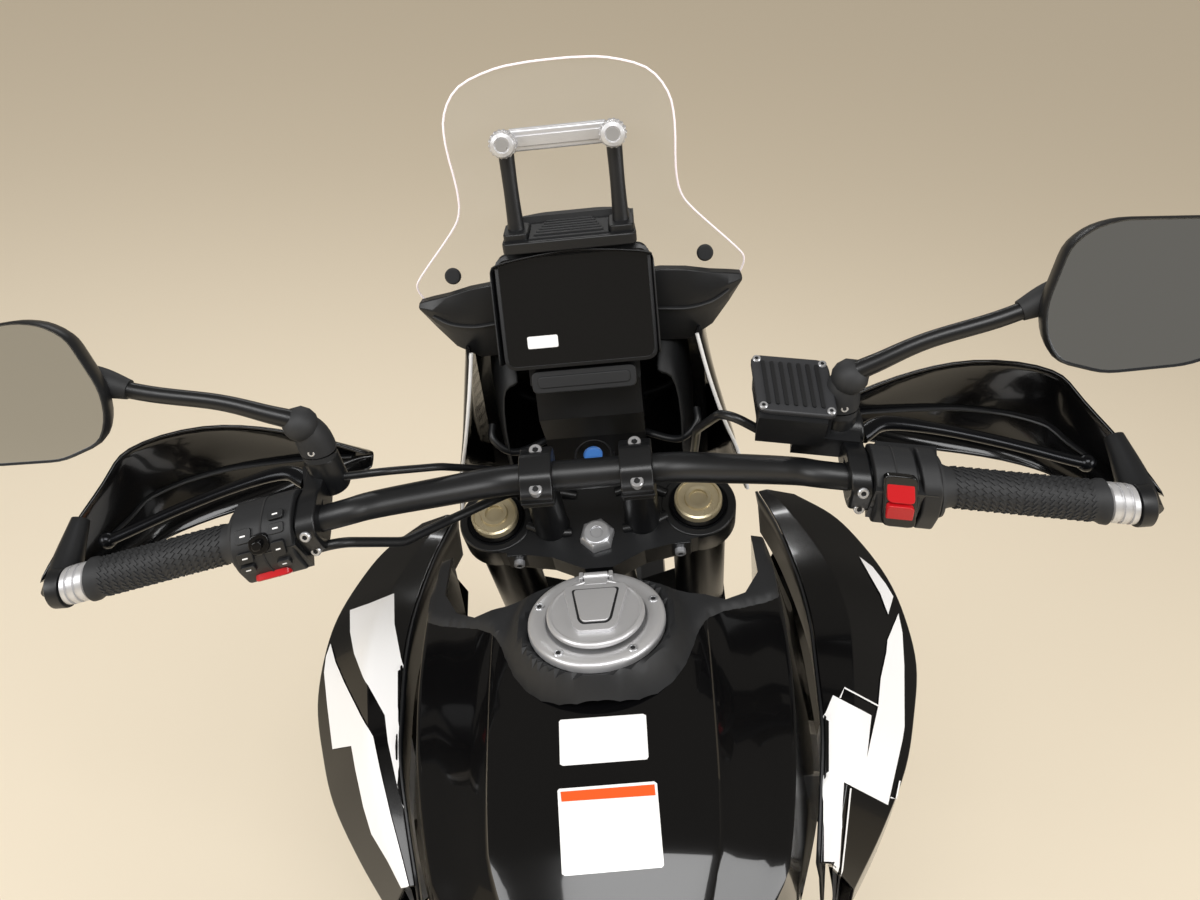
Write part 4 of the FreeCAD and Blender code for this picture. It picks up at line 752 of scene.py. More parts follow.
def on_bar(along, angle, radius):
    """Turns (a, b, depth) into a point: a along the bar, b round it, depth out of it; angle 0 is its rear."""
    turn = math.radians(angle)
    return lambda a, b, depth: at_bar(along + a, -(radius + depth) * math.cos(turn) + b * math.sin(turn),
                                      (radius + depth) * math.sin(turn) + b * math.cos(turn))


def round_bar(profile, around=40):
    """A turned shape on the left bar from (place along, radius) pairs."""
    rows = [[at_bar(along, radius * cosine, radius * sine) for cosine, sine in circle(around)]
            for along, radius in profile]
    return skin(rows, ring=True, ends=True)


def button(along, angle, radius, wide, tall, high, corner=2.5):
    """A button's cap at a place along and round the bar."""
    return slab(rounded(box(wide, tall), corner, 3), -3, high, on_bar(along, angle, radius))


def housing(start, end, outline):
    """A switch housing's shell along the bar, from its outline out ahead and over the bar."""
    return slab(rounded(outline, 8, 4), start, end, lambda out, rise, along: at_bar(along, out, rise))


def bolt(place, way, head=5.5, height=5, socket=2.8):
    """A socket-headed bolt, with a dark hexagon of painted shade in its socket."""
    place, way = Vector(place), Vector(way).normalized()
    cap = lathe(
        [(0, height - 0.6), (socket, height - 0.6), (socket, height), (head - 0.8, height),
         (head, height - 0.8), (head, -1)],
        place, way, around=20)
    # Painted shade: a dark hexagonal sheet inside the socket stands for the shade in the hole
    socket_shade = lathe([(socket, height - 0.4), (0.02, height - 0.4)], place, way, around=6)
    return cap, socket_shade


def bolts(name, places, way, body, place, **sizes):
    """Bolts of one kind in a row of places, their sockets darkened with painted shade."""
    caps, socket_shades = zip(*(bolt(each, way, **sizes) for each in places))
    show(name, together(*caps), bright_steel, body, sharp=30, place=place)
    show(name + "_sockets", together(*socket_shades), grained_plastic, body, sharp=30, place=place)


def make_yokes():
    """Collars, ribs and pinch bolts of the upper yoke, the fork's caps and the steering stem's nut."""
    low, high = UPPER_YOKE
    collars, ribs, caps = [], [], []
    for side in (-1, 1):
        middle = (FORK_LEAD, side * FORK_HALF, 0)
        collars.append(
            lathe(
                [(28.6, low - 2), (37, low - 2), (38, low), (38, high - 1), (36.5, high + 1), (30, high + 1),
                 (28.6, high)],
                middle, UPWARD, around=48))
        collars.append(brick((FORK_LEAD - 30, side * (FORK_HALF - 22), high - 14), (26, 22, 26)))
        ribs.append(
            limb([(8, side * 26, high), (10, side * 48, high + 2), (FORK_LEAD - 10, side * 70, high)],
                 (5, 6, 5), flat=0.8, around=12))
        ribs.append(
            limb([(50, side * 20, high), (54, side * 46, high + 2), (FORK_LEAD + 14, side * 72, high)],
                 (5, 6, 5), flat=0.8, around=12))
        caps.append(
            lathe(
                [(0, 4.5), (9, 4.5), (9.4, 8.4), (13, 8.8), (14, 6.4), (20.5, 6.4), (21.4, 8.2), (23.6, 7.4),
                 (24, 6), (24, -2)],
                (FORK_LEAD, side * FORK_HALF, FORK_TOP), UPWARD, around=48))
    show("yoke_collars", together(*collars), powder_coat, "steering", bevel=1.5, place=steer)
    show("yoke_ribs", together(*ribs), powder_coat, "steering", place=steer)
    nut = lathe([(0, 9), (6, 9), (6, 13), (12, 13), (14.5, 11)], (0, 0, high), UPWARD, around=36)
    hexagon = lathe([(14, 4), (14, 11.5), (16.2, 10), (18, 7), (18, 0)], (0, 0, high), UPWARD, around=6)
    show("fork_caps_turned", together(*caps), gold_anodised, "steering", sharp=30,
         place=steer)
    show("stem_nut", together(nut, hexagon), bright_steel, "steering", ("fork_caps",),
         bevel=0.8, place=steer)
    bolts("yoke_bolts", [(FORK_LEAD - 43.5, side * (FORK_HALF - 22), high - 14) for side in (-1, 1)],
          (-1, 0, 0), "steering", steer)


def make_bar():
    """The tapered handlebar, its clamps and the key's ring."""
    half = [BAR_MIDDLE, (1080, 40, 1128), (1076, 84, 1129.5), (1050, 128, 1141), (1010, 178, 1160),
            at_bar(206), at_bar(300), at_bar(430)]
    line = mirrored(half[:0:-1]) + half
    radii = [14.2, 14.2, 14.2, 13.4, 12.0, 11.2, 11.0, 11.0]
    bent = limb(line, radii[:0:-1] + radii, over=(0.4, 0, 1), around=24, steps=5)
    show("handlebar_bent", bent, satin_plastic, "steering", ("handlebar",), sharp=60)
    rake = math.radians(RAKE)
    d = (BAR_MIDDLE[0] - STEM_X) * math.cos(rake) + BAR_MIDDLE[2] * math.sin(rake)
    s = -(BAR_MIDDLE[0] - STEM_X) * math.sin(rake) + BAR_MIDDLE[2] * math.cos(rake)
    parts, bolt_places = [], []
    outline = [(-14, -18), (14, -18), (19, -12), (28, -9), (28, 10), (20, 14), (12, 21.5), (-12, 21.5),
               (-20, 14), (-28, 10), (-28, -9), (-19, -12)]
    for side in (-1, 1):
        middle = side * CLAMP_HALF
        parts.append(
            slab(rounded(outline, 5), middle - 15, middle + 15, lambda a, b, depth: (d + a, depth, s + b)))
        parts.append(
            lathe([(19, UPPER_YOKE[1] - 1), (17.5, UPPER_YOKE[1] + 4), (16.5, s - 12)], (d, middle, 0),
                  UPWARD, around=28))
        bolt_places += [(d + reach, middle, s + 9) for reach in (-21, 21)]
    show("bar_clamps_cast", together(*parts), powder_coat, "steering", ("bar_clamps",),
         bevel=1.5, place=steer)
    bolts("clamp_bolts", bolt_places, (0, 0, 1), "steering", steer, head=6, height=7, socket=3)
    split = [brick((d, side * CLAMP_HALF, s + 0.5), (57.2, 30.6, 1.6)) for side in (-1, 1)]
    show("clamp_splits", together(*split), grained_plastic, "steering", place=steer)
    key = (KEY_LEAD, 0, UPPER_YOKE[1] + 12)
    barrel = lathe([(0, -1), (14, -1), (14.5, 1.5), (19, 2.2), (20.4, 0), (20.4, -12), (23, -14), (23, -20)],
                   key, UPWARD, around=40)
    show("key_barrel", barrel, satin_plastic, "steering", ("ignition_switch",), place=steer)
    bezel = lathe([(9.5, 1), (10, 3.6), (17.4, 3.4), (18.2, 2), (18.2, 0.4), (9.5, 0.4)], key, UPWARD,
                  around=40)
    show("key_bezel", bezel, hard_chrome, "steering", sharp=40, place=steer)
    # Painted reflection: the lock's blue middle and key slot stand for a blue glint on its bright metal
    slot_block = [brick((KEY_LEAD, 0, key[2] + 1.2), (3, 13, 2)),
                  lathe([(9.4, 0.2), (9.4, 1.4), (0, 1.4)], key, UPWARD, around=30)]
    show("key_slot", together(*slot_block), painted_blue_glint, "steering", place=steer)


LEFT_SHELL = [(-30, -26), (-31, 4), (-24, 20), (-6, 28), (18, 26), (29, 12), (29, -20), (18, -30), (-20, -31)]
SEAM_SWELL = 1.02
RIGHT_SHELL = [(-27, -26), (-30, 0), (-24, 20), (-8, 29), (14, 28), (26, 16), (27, -18), (16, -27),
               (-16, -30)]


def make_switches():
    """The two switch housings: two shells with a seam, buttons, rockers, and the throttle's drum."""
    show("switch_shell_left", housing(235, 286, LEFT_SHELL), grained_plastic, "steering",
         bevel=2)
    show("switch_shell_right", flipped(housing(235, 268, RIGHT_SHELL)), grained_plastic, "steering",
         bevel=2)
    drum = housing(270, 285,
                   [(-25, -34), (-29, 0), (-22, 26), (0, 32), (20, 27), (27, 4), (25, -30), (0, -38)])
    show("throttle_drum", flipped(drum), grained_plastic, "steering", bevel=2)
    seam_left, seam_right = ([(out * SEAM_SWELL, rise * SEAM_SWELL) for out, rise in shell]
                             for shell in (LEFT_SHELL, RIGHT_SHELL))
    seams = together(housing(259.4, 260.8, seam_left), flipped(housing(251, 252.2, seam_right)))
    show("switch_seams", seams, tyre_rubber, "steering")
    keys = [
        # along, angle, radius, width, height, rise
        (274, 62, 26.5, 13, 12, 3.5), (247, 62, 26.5, 13, 9, 3), (247, 84, 28, 13, 8, 3),
        (274, 28, 29, 13, 10, 3.5), (246, 30, 29.5, 11, 14, 3),
        (246, 0, 30.5, 11, 9, 3), (275, 6, 30.5, 12, 9, 3)]
    show("left_buttons", together(*(button(*key) for key in keys)), satin_plastic, "steering",
         bevel=0.8)
    stick = together(button(261, 44, 28, 17, 17, 4, corner=8), button(261, 44, 28, 8, 8, 9, corner=4))
    show("indicator_switch", stick, gloss_abs, "steering", bevel=1)
    show("horn_button", button(262, -34, 30, 30, 15, 8, corner=5), red_plastic, "steering", bevel=2)
    marks = together(
        *(button(along, angle, radius + rise, wide * 0.35, 1.2, 0.3, corner=0.4) for along, angle, radius,
          wide, _, rise in keys))
    show("button_marks", marks, white_vinyl, "steering")
    rocker = together(*(button(252, angle, 28, 21, 19, 7, corner=4) for angle in (46, 10)))
    show("kill_switch", flipped(rocker), red_plastic, "steering", bevel=2)
    show("kill_switch_frame", flipped(button(252, 28, 28.6, 26, 48, 3, corner=6)), gloss_abs, "steering",
         bevel=1.5)
    show("starter_button", flipped(button(252, -24, 29, 16, 12, 4)), satin_plastic, "steering",
         bevel=1)


RESERVOIR_MIDDLE = (50, 179)
MIRROR_BASE, MIRROR_LEAN = (1024, 218, 1204), (-0.2, 0.05, 1)


def at_reservoir(out, along, rise):
    """A place on the brake's reservoir, on the left of the bar."""
    return at_bar(along, out + 1, rise)


def make_perches():
    """Shells over the lever perches: clamps with their bolts, the master cylinder and its reservoir."""
    clamp = housing(217, 234,
                    [(-22, -16), (-22, 14), (-12, 22), (12, 22), (24, 14), (52, 10), (52, -14), (24, -16),
                     (10, -22), (-12, -22)])
    show("perch_clamps", pair(clamp), powder_coat, "steering", bevel=2)
    heads = [at_bar(225.5, -20, 12), at_bar(225.5, -20, -14)]
    bolts("perch_bolts", heads + mirrored(heads), (-1, 0, 0.2), "steering", bike, head=4.5, height=4,
          socket=2.2)
    cylinder = housing(178, 236,
                       [(30, -8), (30, 14), (38, 21), (54, 21), (62, 12), (62, -6), (54, -14), (38, -14)])
    tank_body = slab(rounded(box(52, 58, RESERVOIR_MIDDLE), 8), 14, 46, at_reservoir)
    show("brake_reservoir", flipped(together(cylinder, tank_body)), powder_coat, "steering",
         bevel=2.5)
    lid = slab(rounded(box(56, 62, RESERVOIR_MIDDLE), 9), 46, 52, at_reservoir)
    show("reservoir_lid", flipped(lid), engine_coat, "steering", bevel=2)
    ribs = [slab(rounded(box(42, 3, (RESERVOIR_MIDDLE[0], start + 1.5)), 1.4), 51, 53.6, at_reservoir)
            for start in range(156, 204, 7)]
    show("reservoir_ribs", flipped(together(*ribs)), satin_plastic, "steering")
    corners = [at_bar(along, out, 51.4) for along in (153, 205) for out in (28, 74)]
    stem_way = (-math.sin(math.radians(RAKE)), 0, math.cos(math.radians(RAKE)))
    bolts("reservoir_screws", mirrored(corners), stem_way, "steering", bike, head=3.4, height=2.2, socket=1.6)
    socket = lathe([(15, -34), (15, 0), (13, 4), (11, 4)], MIRROR_BASE, MIRROR_LEAN, around=28)
    nut = lathe([(13, -12), (13, -3), (11.4, -1)], MIRROR_BASE, MIRROR_LEAN, around=6)
    show("mirror_sockets", pair(together(socket, nut)), powder_coat, "steering", bevel=1)


def make_levers():
    """The two hand levers: forged blades with a ball at the end."""
    line = [at_bar(236, 42, 0), at_bar(258, 57, 0), at_bar(300, 57, -1), at_bar(352, 50, -2),
            at_bar(400, 40, -3), at_bar(412, 38, -3)]
    blade = limb(line, (9, 8, 6.2, 6, 6, 6.4), flat=0.75, around=16)
    ball = lathe([(0, -7.6), (4, -6.6), (7, -3), (7.6, 0), (7, 3), (4, 6.6), (0, 7.6)], at_bar(414, 37.6, -3),
                 ACROSS, around=20)
    show("levers_forged", pair(together(blade, ball)), forged_black, "steering",
         ("hand_levers",), sharp=50)


def make_grips():
    """Rubber grips with a flange, and the turned weights at the bar's ends."""
    body = round_bar(
        [(284, 12), (284, 25), (286, 26.5), (288.5, 25.5), (290, 19.5), (296, 17), (300, 16.4), (404, 16.4),
         (408, 17), (411, 18.6), (414.5, 18.8), (415.6, 12)])
    show("grips_moulded", pair(body), grip_rubber, "steering", ("grips",), sharp=40)
    weights = round_bar(
        [(416.2, 11), (416.2, 15.4), (417.4, 16.4), (422, 16.6), (422.4, 15.2), (424.4, 15.2), (424.8, 16.6),
         (429, 16.6), (429.4, 15.2), (431.4, 15.2), (431.8, 16.6), (436, 16), (437.6, 13), (437.6, 7),
         (434, 5), (434, 0.02)])
    show("bar_weights_turned", pair(weights), cast_alloy, "steering", ("bar_end_weights",),
         sharp=30)


GUARD_ROWS = [
    # y, x, bottom height, top height
    (462, 970, 1116, 1140), (452, 1000, 1106, 1156), (438, 1030, 1101, 1172), (424, 1056, 1100, 1186),
    (417, 1068, 1100, 1197),
    (409, 1078, 1100, 1203), (385, 1098, 1100, 1204), (350, 1114, 1101, 1201), (318, 1121, 1104, 1194),
    (288, 1124, 1110, 1185),
    (258, 1123, 1119, 1175), (226, 1118, 1130, 1164), (204, 1113, 1138, 1156),
]


def make_guards():
    """The handguards: dished gloss shells, each with a raised bead and a stay to the bar's end."""
    rows = []
    for y, x, low, high in GUARD_ROWS:
        tall = high - low
        rows.append(
            [(x - 9, y, low - 2), (x - 4, y, low), (x + 3, y, low + tall * 0.1),
             (x + 8, y, low + tall * 0.35), (x + 7, y, low + tall * 0.6), (x - 1, y, low + tall * 0.86),
             (x - 8, y, high), (x - 14, y, high + 1)])
    show("guard_shells", pair(skin(rows)), gloss_abs, "steering", ("handguards",), wall=3.2,
         smooth=1)
    bead = limb([(x + 1, y, low + (high - low) * 0.42) for y, x, low, high in GUARD_ROWS[2:-1]], [3.4] * 10,
                flat=0.6, around=10, steps=3)
    show("guard_beads", pair(bead), satin_plastic, "steering")
    stay = together(
        limb([at_bar(443, -6), at_bar(444, 24), at_bar(440, 62, 4)], (15, 13, 8), flat=0.9, around=20),
        lathe([(17, -5.4), (17.4, -4), (17.4, 5), (15, 7), (0.02, 7)], at_bar(443), ACROSS, around=36))
    show("guard_stays", pair(stay), satin_plastic, "steering", sharp=40)
    ends = [at_bar(450)]
    bolts("guard_bolts", ends, (0, 1, 0), "steering", bike, head=6, height=3, socket=2.8)
    bolts("guard_bolts_right", mirrored(ends), (0, -1, 0), "steering", bike, head=6, height=3, socket=2.8)


MIRROR_OUTLINE = [(364, 1262), (354, 1282), (353, 1304), (368, 1346), (384, 1357), (404, 1361), (500, 1354),
                  (520, 1346), (530, 1330), (528, 1304), (516, 1284), (484, 1258), (460, 1251), (400, 1250)]
MIRROR_MIDDLE = (436, 1306)


def mirror_place(y, z, depth):
    """A place on a mirror's head; depth runs ahead from its glass."""
    return (984 + (z - MIRROR_MIDDLE[1]) * 0.22 + depth, y, z - depth * 0.22)


def make_mirrors():
    """The mirrors' heads, glasses, stems and their rubber boots."""
    outline = rounded(MIRROR_OUTLINE, 10, 3)

    def ring(shrink, depth):
        """The outline drawn in towards the mirror's middle, at a depth."""
        middle = Vector(MIRROR_MIDDLE)
        return [mirror_place(*(middle + (Vector(place) - middle) * shrink), depth) for place in outline]

    head = skin(
        [ring(0.955, 2), ring(0.965, -1), ring(0.985, -2), ring(1.0, 0), ring(1.0, 5), ring(0.98, 13),
         ring(0.9, 24), ring(0.7, 34), ring(0.4, 39), ring(0.02, 40)], ring=True, ends=False)
    show("mirror_heads", pair(head), satin_plastic, "steering", ("mirrors",), sharp=50)
    show("mirror_glasses", pair(skin([ring(0.962, 0.2), ring(0.962, 1.4)], ring=True, ends=True)),
         mirror_glass, "steering", sharp=30)
    stem_line = [(1022, 218, 1222), (1014, 222, 1243), (1010, 246, 1257), (1008, 280, 1272),
                 (1005, 330, 1286), (1008, 374, 1299), (1014, 404, 1304)]
    stem = limb(stem_line, (9, 8.4, 7.4, 6.6, 6.6, 7, 8), around=18)
    boot = limb([(1022, 217.5, 1205), (1022, 217.5, 1216), (1018, 219, 1232), (1013, 226, 1246)],
                (14, 15.5, 14, 9), around=24)
    elbow = lathe([(0, -15), (9, -12), (13.6, -6), (15, 0), (13.6, 6), (9, 12), (0, 15)], (1015, 223, 1242),
                  (0.2, 0.4, 0.8), around=28)
    joint = limb([(1006, 346, 1291), (1008, 366, 1298), (1012, 390, 1303)], (8, 12, 14), around=24)
    show("mirror_stems_bent", pair(stem), powder_coat, "steering", ("mirror_stems",), sharp=60)
    show("mirror_boots", pair(together(boot, elbow, joint)), grip_rubber, "steering", sharp=60)
    screws = [Vector(MIRROR_BASE) + Vector((-16, 0, 14))]
    bolts("mirror_screws", screws + mirrored(screws), (-1, 0, 0), "steering", bike, head=3.5, height=2,
          socket=1.6)


# Display, its tower, the screen and the cowl

DISPLAY_MIDDLE = (1212, 0, 1236)
DISPLAY_TILT = 20


def at_display(across, over, depth=0):
    """A place on the display: across to the left, over up its face, depth towards the rider."""
    tilt = math.radians(DISPLAY_TILT)
    x, _, z = DISPLAY_MIDDLE
    back = -13 - depth
    return (x + back * math.cos(tilt) + over * math.sin(tilt), across,
            z - back * math.sin(tilt) + over * math.cos(tilt))


def panel(outline, low, high):
    """A plate on the display's face."""
    return slab(outline, low, high, at_display)


def oblong(wide, tall, corner, middle=(0, 0)):
    """A rectangle's outline with round corners."""
    return rounded(box(wide, tall, middle), corner, 5)


def make_display():
    """The display: a housing, a gloss glass with a thin rim, a hood over it and a keypad below."""
    case = rounded([(-73, -54), (73, -54), (77, -20), (77, 40), (70, 58), (-70, 58), (-77, 40), (-77, -20)],
                   10, 5)
    show("display_case", panel(case, -30, -1), satin_plastic, "chassis",
         ("instrument_display",), bevel=3)
    rim = skin([[at_display(a, b, depth) for a, b in oblong(wide, tall, corner)]
                for wide, tall, corner,
                depth in ((150, 110, 12, -2), (150, 110, 12, 1.6), (144, 104, 9, 2.4), (143, 103, 9, 0.6))],
               ring=True)
    show("display_rim", rim, satin_plastic, "chassis", sharp=40)
    show("display_glass", panel(oblong(143.4, 103.4, 9), -1.5, 1.0), display_glass, "chassis")
    hood = [
        [at_display(side * (78 - 4 * drop), 46 + 12 * (1 - abs(side)) ** 0.5 * (1 - drop * 0.3),
                    14 - 44 * drop)
         for side in (-1, -0.96, -0.85, -0.6, -0.3, 0, 0.3, 0.6, 0.85, 0.96, 1)]
        for drop in (0, 0.3, 0.6, 1.0)]
    show("display_hood", skin(hood), satin_plastic, "chassis", wall=2.5, smooth=1)
    sides = [[at_display(79 - 5 * drop, over, 6 - 36 * drop) for over in (-50, -46, -20, 20, 48)]
             for drop in (0, 0.5, 1)]
    show("display_cheeks", pair(skin(sides)), satin_plastic, "chassis", wall=2.5,
         smooth=1)
    pad = together(panel(oblong(104, 22, 7, (0, -70)), -34, -6), panel(oblong(92, 12, 5, (0, -70)), -7, -4.6))
    show("display_keypad", pad, grained_plastic, "chassis", bevel=1.5)
    label = panel(oblong(30, 12, 2, (36, -29)), 1.0, 1.3)
    show("display_label", label, white_vinyl, "chassis")


def make_tower():
    """Covers of the dash tower: a tapering column, a boxed back, a ribbed top and the wires' boots."""
    column = [
        # height, x of the rear, x of the front, half width
        (1130, 1219, 1290, 48), (1110, 1217, 1288, 54), (1088, 1234, 1287, 56), (1060, 1252, 1288, 54),
        (1025, 1270, 1293, 50),
        (995, 1282, 1298, 44)]
    rows = []
    for z, rear, front, half in column:
        rows.append(
            [(rear + 10, half, z), (rear + 2, half - 8, z), (rear, half * 0.4, z), (rear, -half * 0.4, z),
             (rear + 2, -half + 8, z), (rear + 10, -half, z), (front, -half, z), (front, half, z)])
    show("tower_column", skin(rows, ring=True, ends=True), satin_plastic, "chassis",
         bevel=2.5)
    shelf = slab(rounded([(1204, -64), (1204, 64), (1280, 60), (1290, 30), (1290, -30), (1280, -60)], 8),
                 1298, 1309.6)
    show("tower_shelf", shelf, satin_plastic, "chassis", bevel=2)
    ribs = [brick((1216 + 7 * row, 0, 1311), (3.2, 66 - 4 * row, 5)) for row in range(7)]
    show("tower_ribs", together(*ribs, brick((1238, 0, 1309.5), (56, 76, 4))), grained_plastic, "chassis",
         bevel=0.8)
    loops = limb(
        [(1262, -50, 1060), (1242, -84, 1058), (1235, -100, 1066), (1238, -112, 1080), (1250, -112, 1090)],
        (4, 4, 4, 4, 4), around=12)
    show("tower_loops", pair(loops), satin_plastic, "chassis")


KNOB, KNOB_WAY, KNOB_FLUTES = (1227.6, 50, 1397), (-1, 0, 0.1), 18


def make_posts():
    """The screen's two posts, their knobs and the bar between them."""
    post = limb([(1226, 50, 1304), (1227, 50, 1318), (1230, 50, 1350), (1234, 50, 1384), (1236, 50, 1403)],
                (10, 8, 7, 7.4, 8), flat=0.8, around=20)
    foot = slab(rounded(box(34, 24, (1227, 50)), 6), 1302, 1316)
    arm = limb([(1238, 50, 1388), (1250, 50, 1388), (1262, 50, 1386)], (7, 6, 5), over=(0, 1, 0), around=16)
    show("screen_posts_cast", pair(together(post, foot, arm)), satin_plastic, "chassis",
         ("screen_posts",), bevel=1.5)
    knob = lathe(
        [(5, -4), (5, 0), (11, 0.6), (12, 2.4), (12, 12), (10.6, 14.4), (7, 15.6), (6.4, 14.4), (0.02, 14.4)],
        KNOB, KNOB_WAY, around=36)
    flutes = [
        lathe([(1.1, 1.5), (1.1, 12.5)], Vector(KNOB) + Vector((0, cosine, sine)) * 11.8, KNOB_WAY, around=8)
        for cosine, sine in circle(KNOB_FLUTES)]
    bar = together(
        *(slab(rounded(outline, corner), -half, half, lambda z, x, y: (x, y, z)) for outline, corner,
          half in (
              (box(20, 10, (1397, 1233)), 3, 44), (box(10, 2.6, (1397, 1227.7)), 1, 40))))
    show("screen_knobs_turned", together(pair(together(knob, *flutes)), bar), cast_alloy, "chassis",
         ("screen_knobs",), bevel=0.8)
    caps = pair(lathe([(0.02, 14.8), (5.8, 14.8), (5.8, 14.2)], KNOB, KNOB_WAY, around=20))
    show("knob_caps", caps, bright_steel, "chassis", sharp=30)


SCREEN_HALF = [
    # height, half width, x of the middle, x of the edge
    (1205, 120, 1330, 1316), (1210, 158, 1328, 1305), (1222, 168, 1323, 1300), (1240, 172, 1318, 1291),
    (1256, 163, 1312, 1285),
    (1300, 124, 1296, 1275), (1322, 110, 1288, 1268), (1350, 106, 1279, 1260), (1395, 107, 1264, 1249),
    (1424, 102, 1254, 1243),
    (1447, 84, 1246, 1239), (1459, 50, 1242, 1238), (1461.8, 20, 1240.6, 1239),
]


def screen_rows():
    """The screen's surface as rows of points from its foot to its top."""
    return refined(
        [[(middle + (edge - middle) * side ** 2, half * side, z)
          for side in (step / 8 - 1 for step in range(17))]
         for z, half, middle, edge in SCREEN_HALF], 3)


def make_screen():
    """The clear screen, with the bright line of its polished edge given as a painted highlight: a faintly glowing
    tube.
    """
    rows = screen_rows()
    show("windscreen_moulded", skin(rows), clear_acrylic, "chassis", ("windscreen",))
    rim = [row[0] for row in rows] + rows[-1][1:-1] + [row[-1] for row in rows[::-1]] + rows[0][-2:0:-1]
    rim = [Vector(place) for place in rim]
    rows = []
    for index, place in enumerate(rim):
        way = (rim[(index + 1) % len(rim)] - rim[index - 1]).normalized()
        side = way.cross(Vector((1, 0, 0.3))).normalized()
        out = side.cross(way)
        rows.append([place + side * cosine + out * sine for cosine, sine in circle(8)])
    # Painted highlight: the tube round the screen's edge glows faintly to stand for the bright line of light along
    # it
    show("screen_edge", skin(rows + rows[:1], ring=True), edge_glow_highlight, "chassis")
    grommets = [
        lathe([(3, -3), (9, -2.4), (9.6, 0), (9, 2), (3, 2.6)], (1261, side * 50, 1386), (1, 0, 0.3),
              around=24) for side in (-1, 1)]
    grommets += [
        lathe([(0.02, 2), (7, 2), (8.6, 0.6), (8.6, -2)], (1290, side * 132, 1250), (-1, 0, 0.2), around=24)
        for side in (-1, 1)]
    show("screen_grommets", together(*grommets), grip_rubber, "chassis", sharp=40)


FLANK_ROWS = [
    # height, then (place ahead, half width) from the cowl back to the painted edge
    (1188, (1322, 124), (1290, 126), (1256, 122), (1232, 116)),
    (1140, (1330, 126), (1292, 132), (1254, 132), (1226, 126)),
    (1085, (1330, 126), (1294, 140), (1262, 144), (1232, 140)),
    (1030, (1326, 124), (1296, 146), (1272, 156), (1250, 156)),
    (975, (1322, 122), (1298, 148), (1280, 162), (1256, 166)),
]
WING_ROWS = [
    # x, y, low and high heights of a section running outwards
    (1262, 58, 1176, 1248), (1258, 84, 1172, 1252), (1256, 110, 1172, 1250), (1258, 134, 1186, 1244),
    (1262, 152, 1208, 1240), (1266, 166, 1228, 1236)]


def make_cowl():
    """The cowl's shell round the lamp, its inner panels and the two wings beside the display."""
    sections = [
        # x, half width, bottom, top, corner
        (1300, 126, 985, 1196, 26), (1318, 125, 977, 1199, 28), (1338, 121, 970, 1199, 30),
        (1358, 110, 972, 1180, 30), (1374, 98, 978, 1152, 26)]
    rows = []
    for x, half, low, high, corner in sections:
        ring = rounded([(half, low), (half, high), (-half, high), (-half, low)], corner, 5)
        rows.append([(x, y, z) for y, z in ring])
    show("cowl_shell", skin(rows, ring=True, ends=True), gloss_abs, "chassis",
         ("fairing_cowl",), sharp=30)
    inner = []
    for x, half, low, high in ((1302, 112, 1000, 1190), (1270, 104, 1010, 1178), (1244, 98, 1024, 1160),
                               (1230, 94, 1040, 1146)):
        inner.append(
            [(x, half, low), (x, half + 3, (low + high) / 2), (x, half - 2, high - 10),
             (x - 2, half - 10, high), (x - 3, half - 24, high + 2)])
    show("cowl_inner", pair(skin(inner)), grained_plastic, "chassis", wall=3, smooth=1)
    wings = [
        [(x - 4, y, low), (x - 10, y, low + (high - low) * 0.3), (x - 12, y, low + (high - low) * 0.7),
         (x - 6, y, high), (x + 10, y, high - 2), (x + 12, y, low + 4)] for x, y, low, high in WING_ROWS]
    show("cowl_wings", pair(skin(wings, ring=True, ends=True)), satin_plastic, "chassis",
         bevel=1.5, sharp=30)
    flanks = refined([[(x, y, z) for x, y in row] for z, *row in FLANK_ROWS], 4)
    show("cowl_flanks", pair(skin(flanks)), gloss_abs, "chassis", wall=3)
    edge = limb([Vector(row[-1]) + Vector((-1.5, 0, 0)) for row in flanks[::4]], [2.0] * 5, around=10)
    show("cowl_painted_edge", pair(edge), white_vinyl, "chassis")
    beads = limb([(x - 11, y, low + (high - low) * 0.5) for x, y, low, high in WING_ROWS[:-1]],
                 (3, 3.4, 3.4, 3, 2), flat=0.5, around=10)
    show("wing_beads", pair(beads), grained_plastic, "chassis")


# Side bodywork

SHROUD_ROWS = [
    # x, then (half width, height) down the section: inner edge, shoulder, ridge, flank, lower edge, tuck
    (846, (176, 866), (186, 864), (206, 826), (204, 806), (198, 784), (184, 772)),
    (890, (186, 898), (205, 895), (240, 845), (236, 815), (230, 790), (200, 745)),
    (940, (196, 925), (222, 920), (272, 864), (266, 828), (258, 796), (206, 722)),
    (990, (200, 940), (232, 936), (292, 877), (284, 836), (278, 800), (212, 690)),
    (1045, (204, 950), (240, 948), (308, 890), (300, 842), (292, 800), (214, 656)),
    (1092, (204, 955), (240, 953), (307, 912), (298, 850), (288, 800), (212, 646)),
    (1135, (201, 957), (234, 957), (298, 930), (288, 860), (276, 802), (206, 644)),
    (1188, (196, 957), (222, 957), (280, 940), (270, 868), (258, 820), (200, 700)),
    (1232, (190, 955), (208, 957), (258, 946), (250, 890), (238, 846), (196, 764)),
    (1272, (180, 958), (190, 960), (222, 950), (216, 916), (208, 888), (186, 840)),
]


